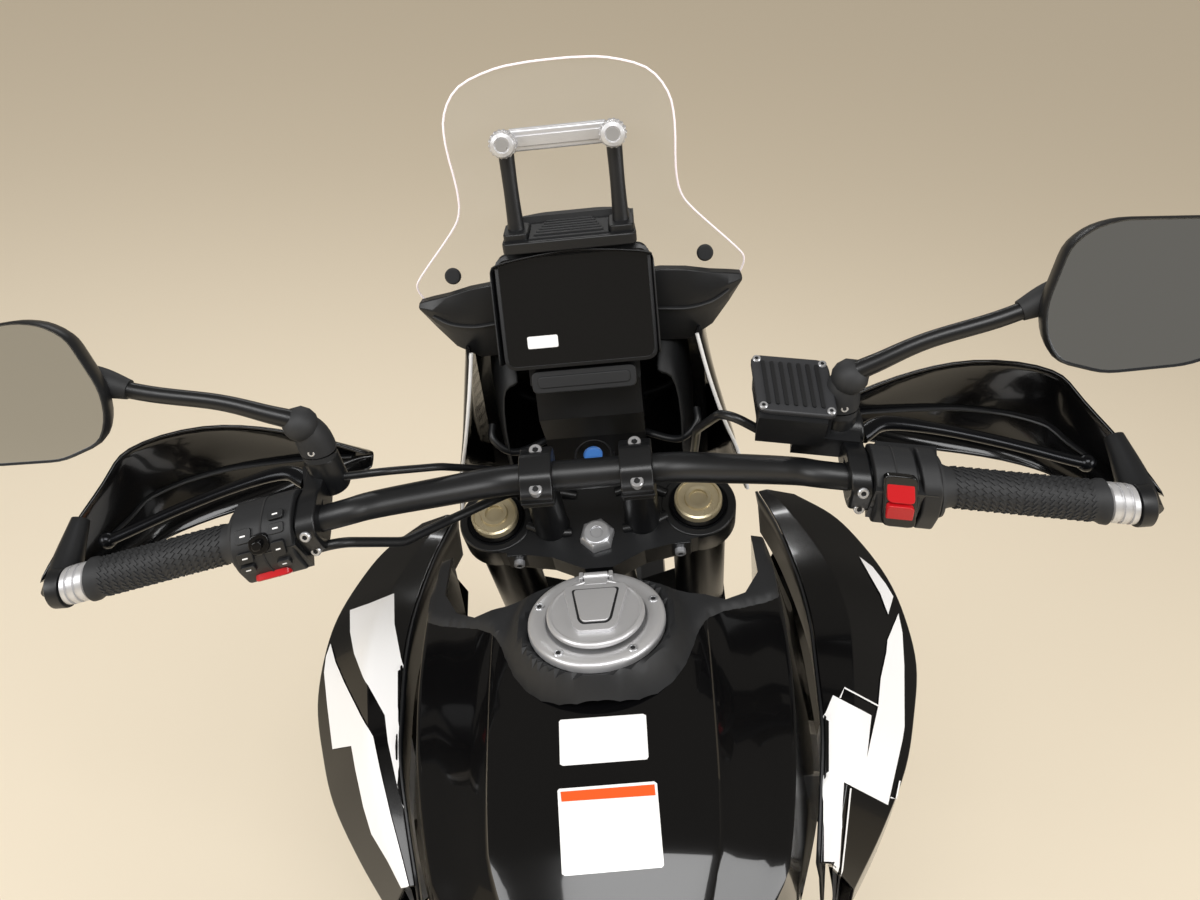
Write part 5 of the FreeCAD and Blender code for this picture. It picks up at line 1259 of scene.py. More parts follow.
def make_shrouds():
    """The radiator's two side shrouds: folded gloss panels with an inner face."""
    rows = refined([[(x, y, z) for y, z in section] for x, *section in SHROUD_ROWS], 5)
    shells = []
    for side, stood_for in ((1, "shroud_left"), (-1, "shroud_right")):
        sheet = skin(rows)
        shells.append(
            show(stood_for + "_panel", sheet if side > 0 else flipped(sheet), gloss_abs, "chassis",
                 (stood_for,), wall=3.4, bevel=1.6, sharp=14))
    lip = [[(x, y0 - 1, z0), (x, y0 + 2, z0 - 20), (x, y0 + 4, z0 - 60 * min(1, (z0 - 700) / 150))]
           for x, (y0, z0), *_ in SHROUD_ROWS]
    show("shroud_inner_faces", pair(skin(refined(lip, 5))), satin_plastic, "chassis", wall=3)
    return shells


# White graphics of the shrouds, as outlines in the photograph's pixels
LEFT_GRAPHICS = [
    [(350.6, 610.7), (370, 604), (394.3, 594.1), (394.8, 624.7), (402.9, 667.5), (407.2, 715.7),
     (417.9, 774.7), (425.9, 814.9), (433.9, 860.4), (439, 906), (424, 906), (417.9, 879.1), (407.2, 828.2),
     (396.4, 780), (388.4, 742.5), (385.2, 715.7), (377.7, 702.3), (364.3, 678.2), (354.9, 654.1),
     (350.9, 632.7)],
    [(331.3, 643.9), (336.2, 662.2), (345.5, 683.6), (361.6, 715.7), (373.7, 737.2), (380.4, 769.3),
     (391.1, 814.9), (403.1, 860.4), (414.5, 906), (411.5, 906), (388.4, 860.4), (372.3, 833.6),
     (364.3, 806.8), (356.3, 769.3), (352.2, 746), (333.5, 749.2), (328.1, 705), (324.9, 672.9),
     (326.8, 656.8)],
]
RIGHT_GRAPHICS = [
    [(859, 557.4), (872.2, 567.6), (885, 584.2), (892.7, 596.9), (887.6, 614.8), (885, 608.4), (879.9, 594.4),
     (869.7, 576.5)],
    [(897.8, 614), (901.6, 632.7), (903.4, 665.8), (903.6, 727), (901.6, 739.8), (887, 804.8), (843.7, 782.4),
     (842.1, 806.1), (836, 906), (820, 906), (819.2, 831.6), (816.1, 744.9), (820, 725.8), (832.7, 695.7),
     (870.5, 715.6), (865.9, 757.7), (877.3, 706.6), (879.9, 678.6), (885.5, 653.1), (886.8, 640.3)],
]
RIGHT_LINES = [
    [(839.8, 698.5), (844.2, 688.3), (877.3, 706.1)],
    [(849.8, 788.3), (844.5, 840), (837.2, 906)],
    [(889.6, 797.2), (895.2, 799), (899, 780.6)],
]
LINE_WIDTH = 1.5
FILM_LIFT = 1.15


def drawn_line(places):
    """The outline, in pixels, of a thin line through places."""
    places = [Vector(place) for place in places]
    beside = []
    for index, place in enumerate(places):
        way = (places[min(index + 1, len(places) - 1)] - places[max(index - 1, 0)]).normalized()
        beside.append(Vector((-way.y, way.x)) * LINE_WIDTH / 2)
    return [tuple(place + off) for place, off in zip(places, beside)] + [tuple(place - off) for place,
                                                                         off in zip(places, beside)][::-1]


def make_graphics(shrouds):
    """The two shrouds' white films and the thin lines beside them."""
    left_skin, right_skin = (settled(shroud) for shroud in shrouds)
    for name, outlines, surface in (("left_film", LEFT_GRAPHICS, left_skin),
                                    ("right_film", RIGHT_GRAPHICS, right_skin),
                                    ("right_line", [drawn_line(places) for places in RIGHT_LINES],
                                     right_skin)):
        for number, outline in enumerate(outlines):
            show(f"{name}_{number}", traced(name, outline, surface, FILM_LIFT), white_vinyl, "chassis")


# Seats

CLOTH_STEPS = 20
SWELL_CAP, SEAT_FILL, FOOT_BAND, SEAT_VOXEL = 9, 0.8, 14, 6


def cushion(name, shape, stands_for, cap):
    """A padded seat: swelled as cloth under pressure, its foot held, with no move further than the cap."""
    start = bpy.data.objects.new("form", meshed(name, shape))
    bpy.context.collection.objects.link(start)
    remesh = start.modifiers.new("even", "REMESH")
    remesh.mode = "VOXEL"
    remesh.voxel_size = SEAT_VOXEL * MM
    mesh = settled(start)
    bpy.data.objects.remove(start)
    piece = bpy.data.objects.new("swelling", mesh)
    bpy.context.collection.objects.link(piece)
    before = [vertex.co.copy() for vertex in mesh.vertices]
    lowest = min(point.dot(up) for point in before)
    foot = piece.vertex_groups.new(name="foot")
    foot.add([index for index, point in enumerate(before) if point.dot(up) < lowest + FOOT_BAND * MM],
             1.0, "REPLACE")
    cloth = piece.modifiers.new("swell", "CLOTH")
    cloth.settings.use_pressure = True
    cloth.settings.uniform_pressure_force = 4
    cloth.settings.effector_weights.gravity = 0
    cloth.settings.vertex_group_mass = "foot"
    cloth.point_cache.frame_end = CLOTH_STEPS
    for step in range(1, CLOTH_STEPS + 1):
        bpy.context.scene.frame_set(step)
    swelled = settled(piece)
    for vertex, point in zip(swelled.vertices, before):
        move = vertex.co - point
        if move.length > cap * MM:
            vertex.co = point + move.normalized() * cap * MM
    bpy.context.scene.frame_set(1)
    bpy.data.objects.remove(piece)
    mesh = swelled
    mesh.materials.clear()
    made = show(name, mesh, seat_vinyl, "chassis", stands_for, smooth=1)


RIDER_SEAT = [
    # x, half width, height of the foot, of the edge and of the middle
    (403, 116, 826, 872, 886), (430, 120, 822, 856, 864), (480, 120, 812, 848, 854),
    (560, 119, 806, 842, 848), (620, 111, 806, 846, 852),
    (670, 102, 806, 858, 864), (705, 94, 808, 874, 881), (722, 88, 812, 896, 906),
]
PILLION_SEAT = [
    # as above
    (92, 92, 872, 886, 900), (120, 100, 862, 900, 914), (180, 104, 850, 908, 920), (260, 106, 838, 906, 918),
    (330, 106, 830, 898, 912),
    (372, 104, 826, 888, 900), (388, 98, 824, 876, 888),
]


def seat_shape(stations):
    """A seat's form through its stations, crowned from side to side."""
    rows = []
    for x, half, foot, edge, middle in stations:
        crown = [(half, foot), (half + 2, foot + (edge - foot) * 0.5), (half - 2, edge - 8),
                 (half - 14, edge), (half * 0.5, (edge + middle * 2) / 3)]
        rows.append([(x, y, z) for y, z in crown] + [(x, 0, middle)] + [(x, -y, z) for y, z in crown[::-1]])
    return skin(rows, ring=True, ends=True)


def seam(stations):
    """A welted seam along a seat's side, a little over half way up."""
    line = [(x, half + 5, foot + (edge - foot) * 0.55) for x, half, foot, edge, _ in stations[1:-1]]
    return pair(limb(line, [1.6] * len(line), around=8, steps=4))


def make_seats():
    """The two seats and their welted seams."""
    cushion("rider_seat_padded", seat_shape(RIDER_SEAT), ("rider_seat",), SWELL_CAP)
    cushion("pillion_seat_padded", seat_shape(PILLION_SEAT), ("passenger_seat",), SWELL_CAP)
    show("seat_welts", together(seam(RIDER_SEAT), seam(PILLION_SEAT)), grip_rubber, "chassis")


# What repeats, set out by Geometry Nodes

def repeat_tree():
    """A node tree that sets a part on every point, turned by the point's own rotation."""
    tree = bpy.data.node_groups.new("part_on_points", "GeometryNodeTree")
    for name, kind in (("Geometry", "NodeSocketGeometry"), ("Part", "NodeSocketObject"),
                       ("Material", "NodeSocketMaterial")):
        tree.interface.new_socket(name, in_out="INPUT", socket_type=kind)
    tree.interface.new_socket("Geometry", in_out="OUTPUT", socket_type="NodeSocketGeometry")
    given = add(tree, "NodeGroupInput")
    part = add(tree, "GeometryNodeObjectInfo", {"Object": given.outputs["Part"]})
    turn = add(tree, "GeometryNodeInputNamedAttribute", {"Name": "turn"}, data_type="QUATERNION")
    placed = add(tree, "GeometryNodeInstanceOnPoints",
                 {"Points": given.outputs["Geometry"], "Instance": part.outputs["Geometry"],
                  "Rotation": turn.outputs["Attribute"]})
    real = add(tree, "GeometryNodeRealizeInstances", {"Geometry": placed.outputs["Instances"]})
    dressed = add(tree, "GeometryNodeSetMaterial",
                  {"Geometry": real.outputs["Geometry"], "Material": given.outputs["Material"]})
    add(tree, "NodeGroupOutput", {"Geometry": dressed.outputs["Geometry"]})
    return tree


REPEAT = repeat_tree()


def local(x, y, z):
    """A place in a part's own metres."""
    return Vector((x, y, z)) * MM


def spot(place, out, along):
    """Where a part sits: its z points out and its x runs along."""
    out = bike_way(*out).normalized()
    along = bike_way(*along)
    along = (along - out * along.dot(out)).normalized()
    turn = Matrix((along, out.cross(along), out)).transposed()
    return bike(*place), turn.to_quaternion()


def repeated(name, part, spots, material, body, stands_for=(), sharp=35):
    """One part in many places, as a plain mesh."""
    pattern = bpy.data.objects.new("part", meshed("part", part, local))
    carrier_mesh = bpy.data.meshes.new("points")
    carrier_mesh.from_pydata([place for place, _ in spots], [], [])
    turns = carrier_mesh.attributes.new("turn", "QUATERNION", "POINT")
    for index, (_, turn) in enumerate(spots):
        turns.data[index].value = turn
    carrier = bpy.data.objects.new("points", carrier_mesh)
    for each in (pattern, carrier):
        bpy.context.collection.objects.link(each)
    nodes = carrier.modifiers.new("repeat", "NODES")
    sockets = {socket.name: socket.identifier
               for socket in REPEAT.interface.items_tree if socket.in_out == "INPUT"}
    nodes.node_group = REPEAT
    nodes[sockets["Part"]] = pattern
    nodes[sockets["Material"]] = material
    mesh = settled(carrier)
    for each in (pattern, carrier):
        bpy.data.objects.remove(each)
    mesh.materials.clear()
    return show(name, mesh, material, body, stands_for, sharp=sharp)


def round_spots(middle, radius, count, side, start=0.0):
    """Places round an axle, facing out to one side."""
    x, y, z = middle
    return [
        spot((x + radius * math.cos(turn), y, z + radius * math.sin(turn)), (0, side, 0),
             (math.cos(turn), 0, math.sin(turn)))
        for turn in (start + 2 * math.pi * step / count for step in range(count))]


SCREW = lathe([(0.02, 3), (2.6, 3), (2.6, 4.4), (4.6, 4.4), (5.4, 3.4), (5.4, -1)], (0, 0, 0), UPWARD,
              around=14)

GRIP_RIB_ROWS, GRIP_RIB_COUNT, GRIP_RADIUS = 17, 22, 16.2


def make_grip_ribs():
    """The grips' moulded ribs, slanting one way on the inner half and the other way on the outer."""
    spots = []
    for row in range(GRIP_RIB_ROWS):
        along = 302 + 100 * row / (GRIP_RIB_ROWS - 1)
        for step in range(GRIP_RIB_COUNT):
            turn = 2 * math.pi * (step + 0.5 * (row % 2)) / GRIP_RIB_COUNT
            place = Vector(at_bar(along, GRIP_RADIUS * math.cos(turn), GRIP_RADIUS * math.sin(turn)))
            out = place - Vector(at_bar(along))
            slant = 0.9 if row < GRIP_RIB_ROWS // 2 else -0.9
            spots.append((place, out, out.normalized().cross(Vector((0, 1, 0))) + Vector((0, slant, 0))))
    rib = brick((0, 0, 0.2), (5.4, 1.5, 1.8))
    left_spots = [spot(place, out, way) for place, out, way in spots]
    mirror = Vector((1, -1, 1))
    right_spots = [spot(place * mirror, out * mirror, way * mirror) for place, out, way in spots]
    repeated("grip_ribs", rib, left_spots + right_spots, grip_rubber, "steering")


# Wheels
FRONT_AXLE, REAR_AXLE = (WHEELBASE, 0, FRONT_WHEEL_RADIUS), (0, 0, REAR_WHEEL_RADIUS)
WHEELS = [
    # body, tyre node, middle, radius, half width, crown radius, seat radius, bead half, blocks around
    ("front_wheel_set", "front_tyre", FRONT_AXLE, FRONT_WHEEL_RADIUS, 46, 48, 270, 26.5, 56),
    ("rear_wheel_set", "rear_tyre", REAR_AXLE, REAR_WHEEL_RADIUS, 75, 78, 232, 54, 50),
]
TREAD_DEPTH = 5
# Each row of blocks: its lean on the crown in degrees and its shift in blocks
TREAD_ROWS = [(0, 0.0), (24, 0.5), (50, 0.0)]
TYRE_STEPS = 120


def make_tyres():
    """The tyres: a smooth carcass with raised bands on its walls, and staggered blocks over the crown."""
    for body, node, middle, radius, half, crown, seat, bead, count in WHEELS:
        rise = radius - TREAD_DEPTH
        profile = [(seat + 1, bead - 1), (seat + 8, bead + 1.5), (seat + 14, bead + 0.5),
                   (seat + 22, (bead + half) / 2 + 4), ((seat + rise) / 2 + 6, half - 1.5),
                   (rise - crown * 0.62, half - 0.8), (rise - crown * 0.52, half - 2.4)]
        profile += [
            (rise - crown * (1 - math.cos(math.radians(turn))), (crown - 2.5) * math.sin(math.radians(turn)))
            for turn in (60, 50, 40, 30, 20, 10, 0)]
        outline = profile + [(r, -y) for r, y in profile[-2::-1]]
        rows = []
        for turn in (2 * math.pi * step / TYRE_STEPS for step in range(TYRE_STEPS + 1)):
            rows.append(
                [(middle[0] + r * math.cos(turn), y, middle[2] + r * math.sin(turn)) for r, y in outline])
        show(node + "_carcass", skin(rows, ring=True), tyre_rubber, body, (node,), sharp=40)
        spots = []
        for lean, shift in TREAD_ROWS:
            for side in ((1,) if lean == 0 else (1, -1)):
                for step in range(count):
                    turn = 2 * math.pi * (step + shift * side) / count
                    tilt = math.radians(lean * side)
                    reach = rise - crown * (1 - math.cos(tilt)) - 1
                    place = (middle[0] + reach * math.cos(turn), crown * math.sin(tilt),
                             middle[2] + reach * math.sin(turn))
                    out = (math.cos(turn) * math.cos(tilt), math.sin(tilt), math.sin(turn) * math.cos(tilt))
                    spots.append(spot(place, out, (-math.sin(turn), 0.35 * side, math.cos(turn))))
        length = 2 * math.pi * radius / count
        block = rounded(
            [(-length * 0.4, -crown * 0.17), (length * 0.34, -crown * 0.19), (length * 0.4, crown * 0.17),
             (-length * 0.34, crown * 0.19)], 2.5, 2)
        part = skin([[(a * shrink, b * shrink, depth) for a, b in block]
                     for shrink, depth in ((1.08, -3), (1.0, TREAD_DEPTH - 1.4), (0.92, TREAD_DEPTH - 0.4))],
                    ring=True, ends=True)
        repeated(node + "_blocks", part, spots, tyre_rubber, body)


def make_discs():
    """Screws and bobbins of the discs and the sprocket, and the axles' nuts."""
    spots = []
    for side in (1, -1):
        spots += round_spots((WHEELBASE, side * 66.5, FRONT_WHEEL_RADIUS), 46, 6, side)
    repeated("front_disc_screws", SCREW, spots, bright_steel, "front_wheel_set")
    repeated("rear_disc_screws", SCREW, round_spots((0, -88.6, REAR_WHEEL_RADIUS), 40, 6, -1), bright_steel,
             "rear_wheel_set")
    repeated("sprocket_nuts", SCREW, round_spots((0, 100.2, REAR_WHEEL_RADIUS), 48, 6, 1), bright_steel,
             "rear_wheel_set")
    nuts = [
        lathe([(0.02, 5), (10, 5), (10, 8), (15, 8), (16.5, 6.5), (16.5, 0)],
              (0, side * 137, REAR_WHEEL_RADIUS), (0, side, 0), around=6) for side in (1, -1)]
    show("rear_axle_nuts", together(*nuts), bright_steel, "chassis", bevel=0.8)
    caps = [
        lathe([(0.02, 2), (6, 2), (6, 5), (12, 5), (13.5, 3.5), (13.5, 0)],
              (WHEELBASE, side * 133, FRONT_WHEEL_RADIUS), (0, side, 0), around=6)
        for side in (1, -1)]
    show("front_axle_nuts", together(*caps), bright_steel, "steering", bevel=0.8)


# Drive chain
SPROCKET_MIDDLE = (642, 402)
CHAIN_Y, CHAIN_PITCH = 97, 15.875
SPROCKET_TEETH = (44, 15)
REAR_ARC_STEPS, FRONT_ARC_STEPS = 180, 60
CHAIN_RADII = [CHAIN_PITCH / (2 * math.sin(math.pi / teeth)) for teeth in SPROCKET_TEETH]


def chain_path():
    """Points of the chain's pitch line at every pitch, with its direction."""
    (front_x, front_z), (rear_radius, front_radius) = SPROCKET_MIDDLE, CHAIN_RADII
    line = Vector((front_x, front_z - REAR_WHEEL_RADIUS))
    slope = math.atan2(line.y, line.x)
    lean = math.acos((rear_radius - front_radius) / line.length)
    path = []
    for step in range(REAR_ARC_STEPS + 1):
        turn = slope + lean + (2 * math.pi - 2 * lean) * step / REAR_ARC_STEPS
        path.append(Vector((rear_radius * math.cos(turn), REAR_WHEEL_RADIUS + rear_radius * math.sin(turn))))
    for step in range(FRONT_ARC_STEPS + 1):
        turn = slope - lean + 2 * lean * step / FRONT_ARC_STEPS
        path.append(
            Vector((front_x + front_radius * math.cos(turn), front_z + front_radius * math.sin(turn))))
    path.append(path[0])
    total = sum((stop - start).length for start, stop in zip(path, path[1:]))
    count = 2 * round(total / CHAIN_PITCH / 2)
    spaced, walked, target = [], 0.0, 0.0
    for start, stop in zip(path, path[1:]):
        reach = (stop - start).length
        while target <= walked + reach and len(spaced) < count:
            spaced.append(start.lerp(stop, (target - walked) / reach))
            target += total / count
        walked += reach
    return spaced


def make_chain():
    """The chain's side plates, wide and narrow in turn, with its rollers."""
    places = chain_path()
    outer, inner, pins = [], [], []
    for index, place in enumerate(places):
        beyond = places[(index + 1) % len(places)]
        middle, way = (place + beyond) / 2, (beyond - place).normalized()
        for side in (1, -1):
            offset = 7.6 if index % 2 else 5.4
            (outer if index % 2 else inner).append(
                spot((middle.x, CHAIN_Y + side * offset, middle.y), (0, side, 0), (way.x, 0, way.y)))
        pins.append(spot((place.x, CHAIN_Y, place.y), (0, 1, 0), (way.x, 0, way.y)))
    waist = [(-7.9, -6.6), (-3, -4.9), (3, -4.9), (7.9, -6.6), (13.2, -4.4), (14.4, 0), (13.2, 4.4),
             (7.9, 6.6), (3, 4.9), (-3, 4.9), (-7.9, 6.6), (-13.2, 4.4), (-14.4, 0), (-13.2, -4.4)]
    plate = slab(waist, -0.9, 0.9)
    pin = lathe([(2.6, -9.4), (2.6, -4.4), (5, -4.4), (5, 4.4), (2.6, 4.4), (2.6, 9.4)], (0, 0, 0), UPWARD,
                around=12)
    repeated("chain_outer_plates", plate, outer, bright_steel, "chassis", ("drive_chain",))
    repeated("chain_inner_plates", plate, inner, bright_steel, "chassis")
    repeated("chain_pins", pin, pins, heated_steel, "chassis")


# Engine, cooling and exhaust
CYLINDER_BANK, RADIATOR_LEAN = 14, 12
CLUTCH_PLACE, ALTERNATOR_PLACE = (748, -151, 385), (860, 146, 382)


def make_engine():
    """Covers, ribs and screws of the engine, and the fins and caps of its cylinders."""
    clutch = lathe(
        [(0.02, 9), (34, 9), (37, 6), (52, 5), (56, 8), (60, 8), (64, 3), (80, 2), (86.5, -3), (86.5, -20)],
        CLUTCH_PLACE, (0, -1, 0), around=72)
    alternator = lathe(
        [(0.02, 6), (22, 6), (25, 3), (58, 2), (62, 5), (66, 5), (70, 0), (78.5, -4), (78.5, -20)],
        ALTERNATOR_PLACE, ACROSS, around=72)
    show("engine_covers", together(clutch, alternator), engine_coat, "chassis", sharp=30)
    screws = round_spots((748, -153, 385), 76, 9, -1) + round_spots(ALTERNATOR_PLACE, 72, 8, 1)
    repeated("cover_screws", SCREW, screws, bright_steel, "chassis")
    ribs = [brick((690 + 36 * step, side * 106, 505 - 5 * step), (5, 8, 70)) for step in range(6)
            for side in (1, -1)]
    show("case_ribs", together(*ribs), engine_coat, "chassis", bevel=1.5)
    tilt = Matrix.Rotation(math.radians(CYLINDER_BANK), 3, "Y")

    def banked(along, across, rise):
        """A place on the leaning cylinders."""
        return Vector((850, 0, 568)) + tilt @ Vector((along, across, rise))

    fins = [brick(banked(0, 0, 18 + 13 * step), (156 - 2 * (step % 2), 200, 3.4), tilt) for step in range(9)]
    show("cylinder_fins", together(*fins), engine_coat, "chassis", bevel=0.8)
    cover = together(brick(banked(0, 0, 214), (150, 178, 14), tilt),
                     brick(banked(0, 0, 222), (110, 150, 8), tilt))
    show("head_cover", cover, engine_coat, "chassis", bevel=4)
    out = tilt @ Vector((0, 0, 1))
    corners = [(along, across) for along in (-66, 0, 66) for across in (-80, 80)]
    repeated("head_screws", SCREW,
             [spot(banked(along, across, 220), out, (1, 0, 0)) for along, across in corners], bright_steel,
             "chassis")


def make_radiator():
    """The radiator's tubes and fins between its two side tanks, and a guard of bars before it."""
    tilt = Matrix.Rotation(math.radians(RADIATOR_LEAN), 3, "Y")

    def core(along, across, rise):
        """A place on the leaning radiator."""
        return Vector((1128, 0, 660)) + tilt @ Vector((along, across, rise))

    front = tilt @ Vector((1, 0, 0))
    fin = brick((0, 0, 1.2), (272, 1.2, 3))
    spots = [spot(core(17, 0, -84 + 6 * step), front, (0, 1, 0)) for step in range(29)]
    repeated("radiator_fins", fin, spots, bright_steel, "chassis")
    tanks = together(*(brick(core(1, side * 146, 0), (42, 20, 186), tilt) for side in (1, -1)),
                     brick(core(1, 0, 92), (40, 300, 10), tilt), brick(core(1, 0, -92), (40, 300, 10), tilt))
    show("radiator_tanks", tanks, radiator_paint, "chassis", bevel=3)
    bars = together(*(brick(core(24, 0, -75 + 25 * step), (4, 290, 4), tilt) for step in range(7)))
    show("radiator_guard", bars, powder_coat, "chassis", bevel=1)


MUFFLER_FRONT, MUFFLER_REAR = Vector((430, -177, 445)), Vector((-60, -205, 700))


def make_muffler():
    """The muffler's bands, end cap and slotted heat shield."""
    way = (MUFFLER_REAR - MUFFLER_FRONT).normalized()
    length = (MUFFLER_REAR - MUFFLER_FRONT).length
    bands = [
        lathe([(48.2, start), (49.6, start + 1), (49.6, start + 15), (48.2, start + 16)], MUFFLER_FRONT, way,
              around=56)
        for start in (34, 250, length - 34)]
    show("muffler_bands", together(*bands), powder_coat, "chassis", sharp=40)
    cap = lathe(
        [(22, length - 6), (24, length + 4), (27, length + 4.6), (36, length), (41.4, length - 3),
         (48.6, length - 13), (48.6, length - 18)],
        MUFFLER_FRONT, way, around=56)
    show("muffler_cap", cap, powder_coat, "chassis", sharp=35)
    side = (Vector((0, -1, 0)) - way * Vector((0, -1, 0)).dot(way)).normalized()
    over = way.cross(side)
    rows = []
    for start in range(70, 246, 8):
        rows.append(
            [MUFFLER_FRONT + way * start + (side * math.cos(turn) + over * math.sin(turn)) * 56
             for turn in (math.radians(angle) for angle in range(-52, 53, 13))])
    show("heat_shield", skin(rows), satin_plastic, "chassis", wall=-2.5, bevel=1)
    slots = [spot(MUFFLER_FRONT + way * (96 + 24 * step) + side * 58.6, side, way * 0.6 + over)
             for step in range(6)]
    slot_part = slab(rounded(box(40, 6), 2.9, 4), -1, 0.6)
    repeated("heat_shield_slots", slot_part, slots, engine_coat, "chassis")


def make_controls():
    """The chain's guard, the brake pedal and the gear lever."""
    guard = skin([[(x, y, z + rise) for x, z in ((620, 470), (560, 474), (420, 462), (300, 450))]
                  for y, rise in ((118, 0), (104, 4))])
    show("chain_guard", guard, satin_plastic, "chassis", wall=3, bevel=1)
    brake = limb([(640, -150, 330), (690, -160, 318), (745, -172, 308), (800, -186, 306), (818, -196, 308)],
                 (8, 7, 6, 6, 7), around=14)
    brake_pad = brick((820, -204, 311), (34, 40, 7))
    gear = limb([(706, 120, 330), (706, 150, 330), (750, 160, 322), (806, 168, 318), (812, 186, 318)],
                [6] * 5, around=14)
    gear_pad = lathe([(9, -16), (10, -14), (10, 14), (9, 16)], (812, 192, 318), ACROSS, around=20)
    show("foot_controls", together(brake, brake_pad, gear), powder_coat, "chassis", bevel=1)
    show("gear_rubber", gear_pad, grip_rubber, "chassis")


LAMP_HALF, LAMP_HEIGHT = 38, 1052


def make_front():
    """The headlamp's two bowls with their rims and lenses."""
    bowls, rims = [], []
    for side in (1, -1):
        place = (1404, side * LAMP_HALF, LAMP_HEIGHT)
        bowls.append(lathe([(0.02, -4), (14, -3), (25, 4), (27, 6)], place, ONWARD, around=40))
        rims.append(lathe([(27, 4), (29.5, 7.5), (31, 7), (31, -8)], place, ONWARD, around=40))
    show("lamp_bowls", together(*bowls), hard_chrome, "chassis", sharp=60)
    show("lamp_rims", together(*rims), gloss_abs, "chassis", sharp=40)
    lenses = pair(
        lathe([(0.02, 13), (10, 12), (19, 9.4), (24, 6)], (1398, LAMP_HALF, LAMP_HEIGHT), ONWARD, around=40))
    show("lamp_lenses", lenses, lamp_glass, "chassis", sharp=60)


RACK_TOP = 944


def at_plate(across, up_plate, depth):
    """A place on the number plate, from its middle on the rear fender."""
    return Vector((-214, 0, 690)) + Vector((0, across, 0)) + Vector((0.61, 0, 0.79)) * up_plate + Vector(
        (-0.79, 0, 0.61)) * depth


def make_rear():
    """The tail lamp's lens, rear indicators, a blank number plate and the rack's slots and screws."""
    lens = slab(rounded([(-52, 874), (52, 874), (50, 898), (-50, 898)], 6), -134, -126, lambda y, z,
                x: (x, y, z))
    show("tail_lens", lens, red_lens, "chassis", bevel=2)
    ribs = [spot((-134.6, -44 + 8 * step, 886), (-1, 0, 0), (0, 0, 1)) for step in range(12)]
    repeated("tail_lens_ribs", brick((0, 0, 0), (18, 1.6, 1.8)), ribs, red_lens, "chassis")
    stalk = limb([(-168, 60, 742), (-172, 92, 744), (-172, 116, 746)], (6, 5, 5), around=14)
    body = limb([(-152, 128, 746), (-166, 132, 746), (-182, 132, 746), (-194, 128, 746)], (8, 15, 15, 10),
                around=20)
    show("rear_indicators", pair(together(stalk, body)), satin_plastic, "chassis",
         sharp=60)
    lamp = lathe([(14, 0), (12.5, 4), (8, 6.5), (0.02, 7)], (-190, 129, 746), (-1, 0, 0), around=24)
    show("rear_indicator_lenses", pair(lamp), amber_lens, "chassis")
    board = slab(rounded(box(190, 120), 8), 8, 10, at_plate)
    show("blank_plate", board, white_vinyl, "chassis", bevel=0.6)
    bracket = slab(rounded(box(120, 106, (0, 3)), 6), -4, 8, at_plate)
    show("plate_bracket", bracket, satin_plastic, "chassis", bevel=1)
    slots = [spot((-40 + 40 * step, across, RACK_TOP), UPWARD, ACROSS) for step in (-2, -1, 0, 1, 2)
             for across in (-50, 50)]
    slot_part = slab(rounded(box(60, 10), 4.8, 4), -1, 0.5)
    repeated("rack_slots", slot_part, slots, grip_rubber, "chassis")
    screws = [spot((-40 + x, y, RACK_TOP), UPWARD, ONWARD) for x in (-95, 95) for y in (-88, 88)]
    repeated("rack_screws", SCREW, screws, bright_steel, "chassis")


# Stage: floor, world and soft boxes
FLOOR_COLOUR = "#ece1cd"
ROOM_COLOUR = "#f1e9dc"
ROOM_LIGHT = 0.68
REFLECTED_LIGHT = 0.2
SEEN_LIGHT = 0.9
FLOOR_REACH = 30
SOFT_BOXES = [
    # name, place ahead, to the left and up in m, width and height in m, watts
    ("left_bank", (-1.6, 2.9, 2.6), (2.0, 1.6), 60),
    ("right_bank", (-1.6, -2.9, 2.6), (2.0, 1.6), 60),
    ("over_rider", (-1.5, 0.2, 3.6), (2.2, 1.2), 60),
    ("strip_ahead", (2.6, 0.5, 2.9), (1.6, 0.12), 10),
]
AIM = (0.2, 0, 0.9)


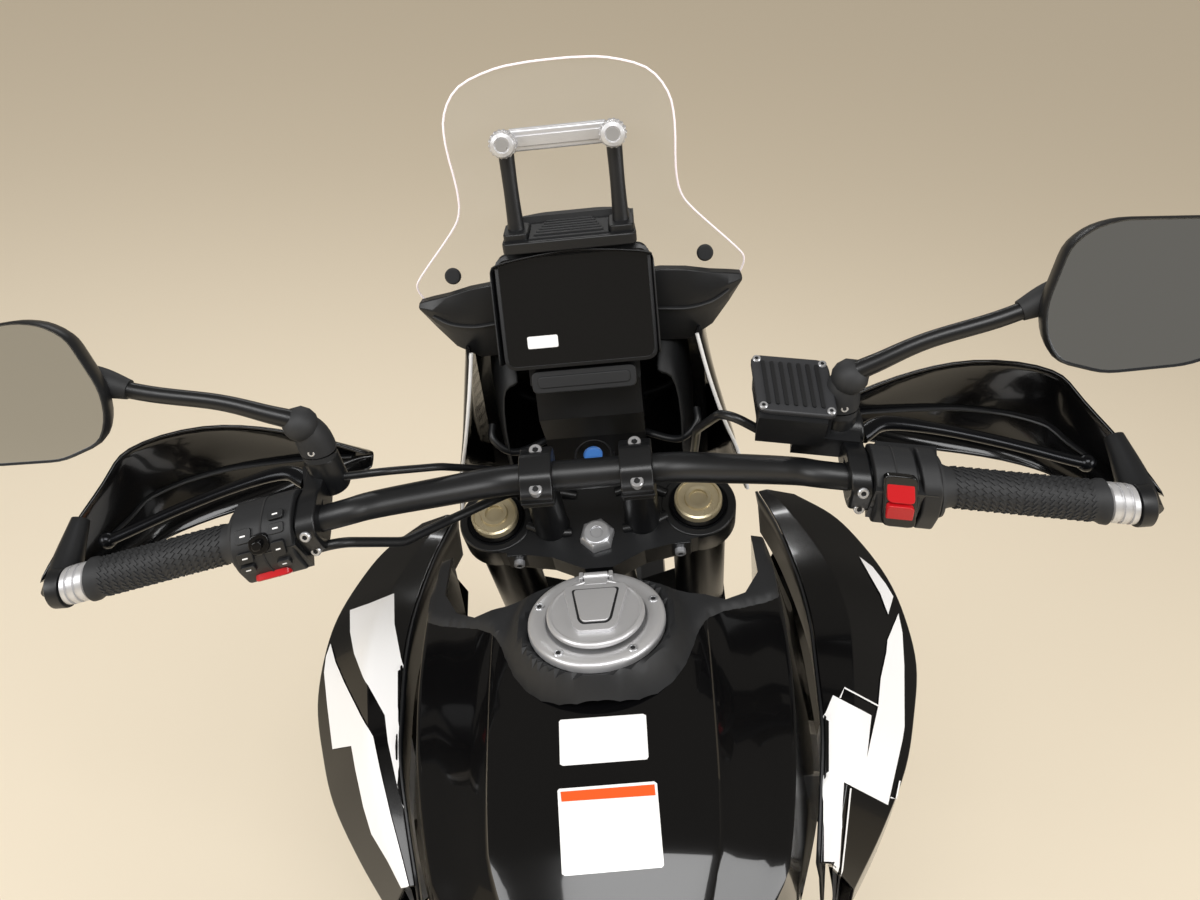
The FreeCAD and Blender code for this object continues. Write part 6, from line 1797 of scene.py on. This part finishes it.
def make_world():
    """An even room: pale where the camera looks, darker in polished surfaces as in the photograph."""
    world = bpy.data.worlds.new("studio")
    world.use_nodes = True
    tree = world.node_tree
    ground_colour = tree.nodes["Background"]
    ground_colour.inputs["Color"].default_value = linear(ROOM_COLOUR)
    path = add(tree, "ShaderNodeLightPath")
    level = add(tree, "ShaderNodeMix",
                {"Factor": path.outputs["Is Glossy Ray"], "A": ROOM_LIGHT, "B": REFLECTED_LIGHT})
    seen = add(tree, "ShaderNodeMath",
               {0: path.outputs["Is Camera Ray"], 1: path.outputs["Is Transmission Ray"]},
               operation="MAXIMUM")
    strength = add(tree, "ShaderNodeMix",
                   {"Factor": seen.outputs[0], "A": level.outputs["Result"], "B": SEEN_LIGHT})
    tree.links.new(strength.outputs["Result"], ground_colour.inputs["Strength"])
    bpy.context.scene.world = world


def make_stage():
    """The floor, the room and its soft boxes."""
    floor_mesh = bpy.data.meshes.new("floor")
    floor_mesh.from_pydata([(x, y, 0) for x, y in box(2 * FLOOR_REACH, 2 * FLOOR_REACH)], [], [(0, 1, 2, 3)])
    floor = bpy.data.objects.new("floor", floor_mesh)
    floor_mesh.materials.append(finish("floor_plaster", FLOOR_COLOUR, 0.6, rough_spread=0.05))
    bpy.context.collection.objects.link(floor)
    make_world()
    for name, place, size, watts in SOFT_BOXES:
        data = bpy.data.lights.new(name, "AREA")
        data.shape = "RECTANGLE"
        data.size, data.size_y = size
        data.energy = watts
        lamp = bpy.data.objects.new(name, data)
        lamp.location = place
        lamp.rotation_mode = "QUATERNION"
        lamp.rotation_quaternion = (Vector(AIM) - Vector(place)).to_track_quat("-Z", "Y")
        bpy.context.collection.objects.link(lamp)


paint_nodes()
tank = make_tank()
make_cover()
make_filler()
make_stickers(tank)
make_yokes()
make_bar()
make_switches()
make_perches()
make_levers()
make_grips()
make_guards()
make_mirrors()
make_display()
make_tower()
make_posts()
make_screen()
make_cowl()
shrouds = make_shrouds()
make_graphics(shrouds)
make_seats()
make_grip_ribs()
make_tyres()
make_discs()
make_chain()
make_engine()
make_radiator()
make_muffler()
make_controls()
make_front()
make_rear()

make_camera()
make_stage()
bpy.context.scene.view_settings.view_transform = "Standard"
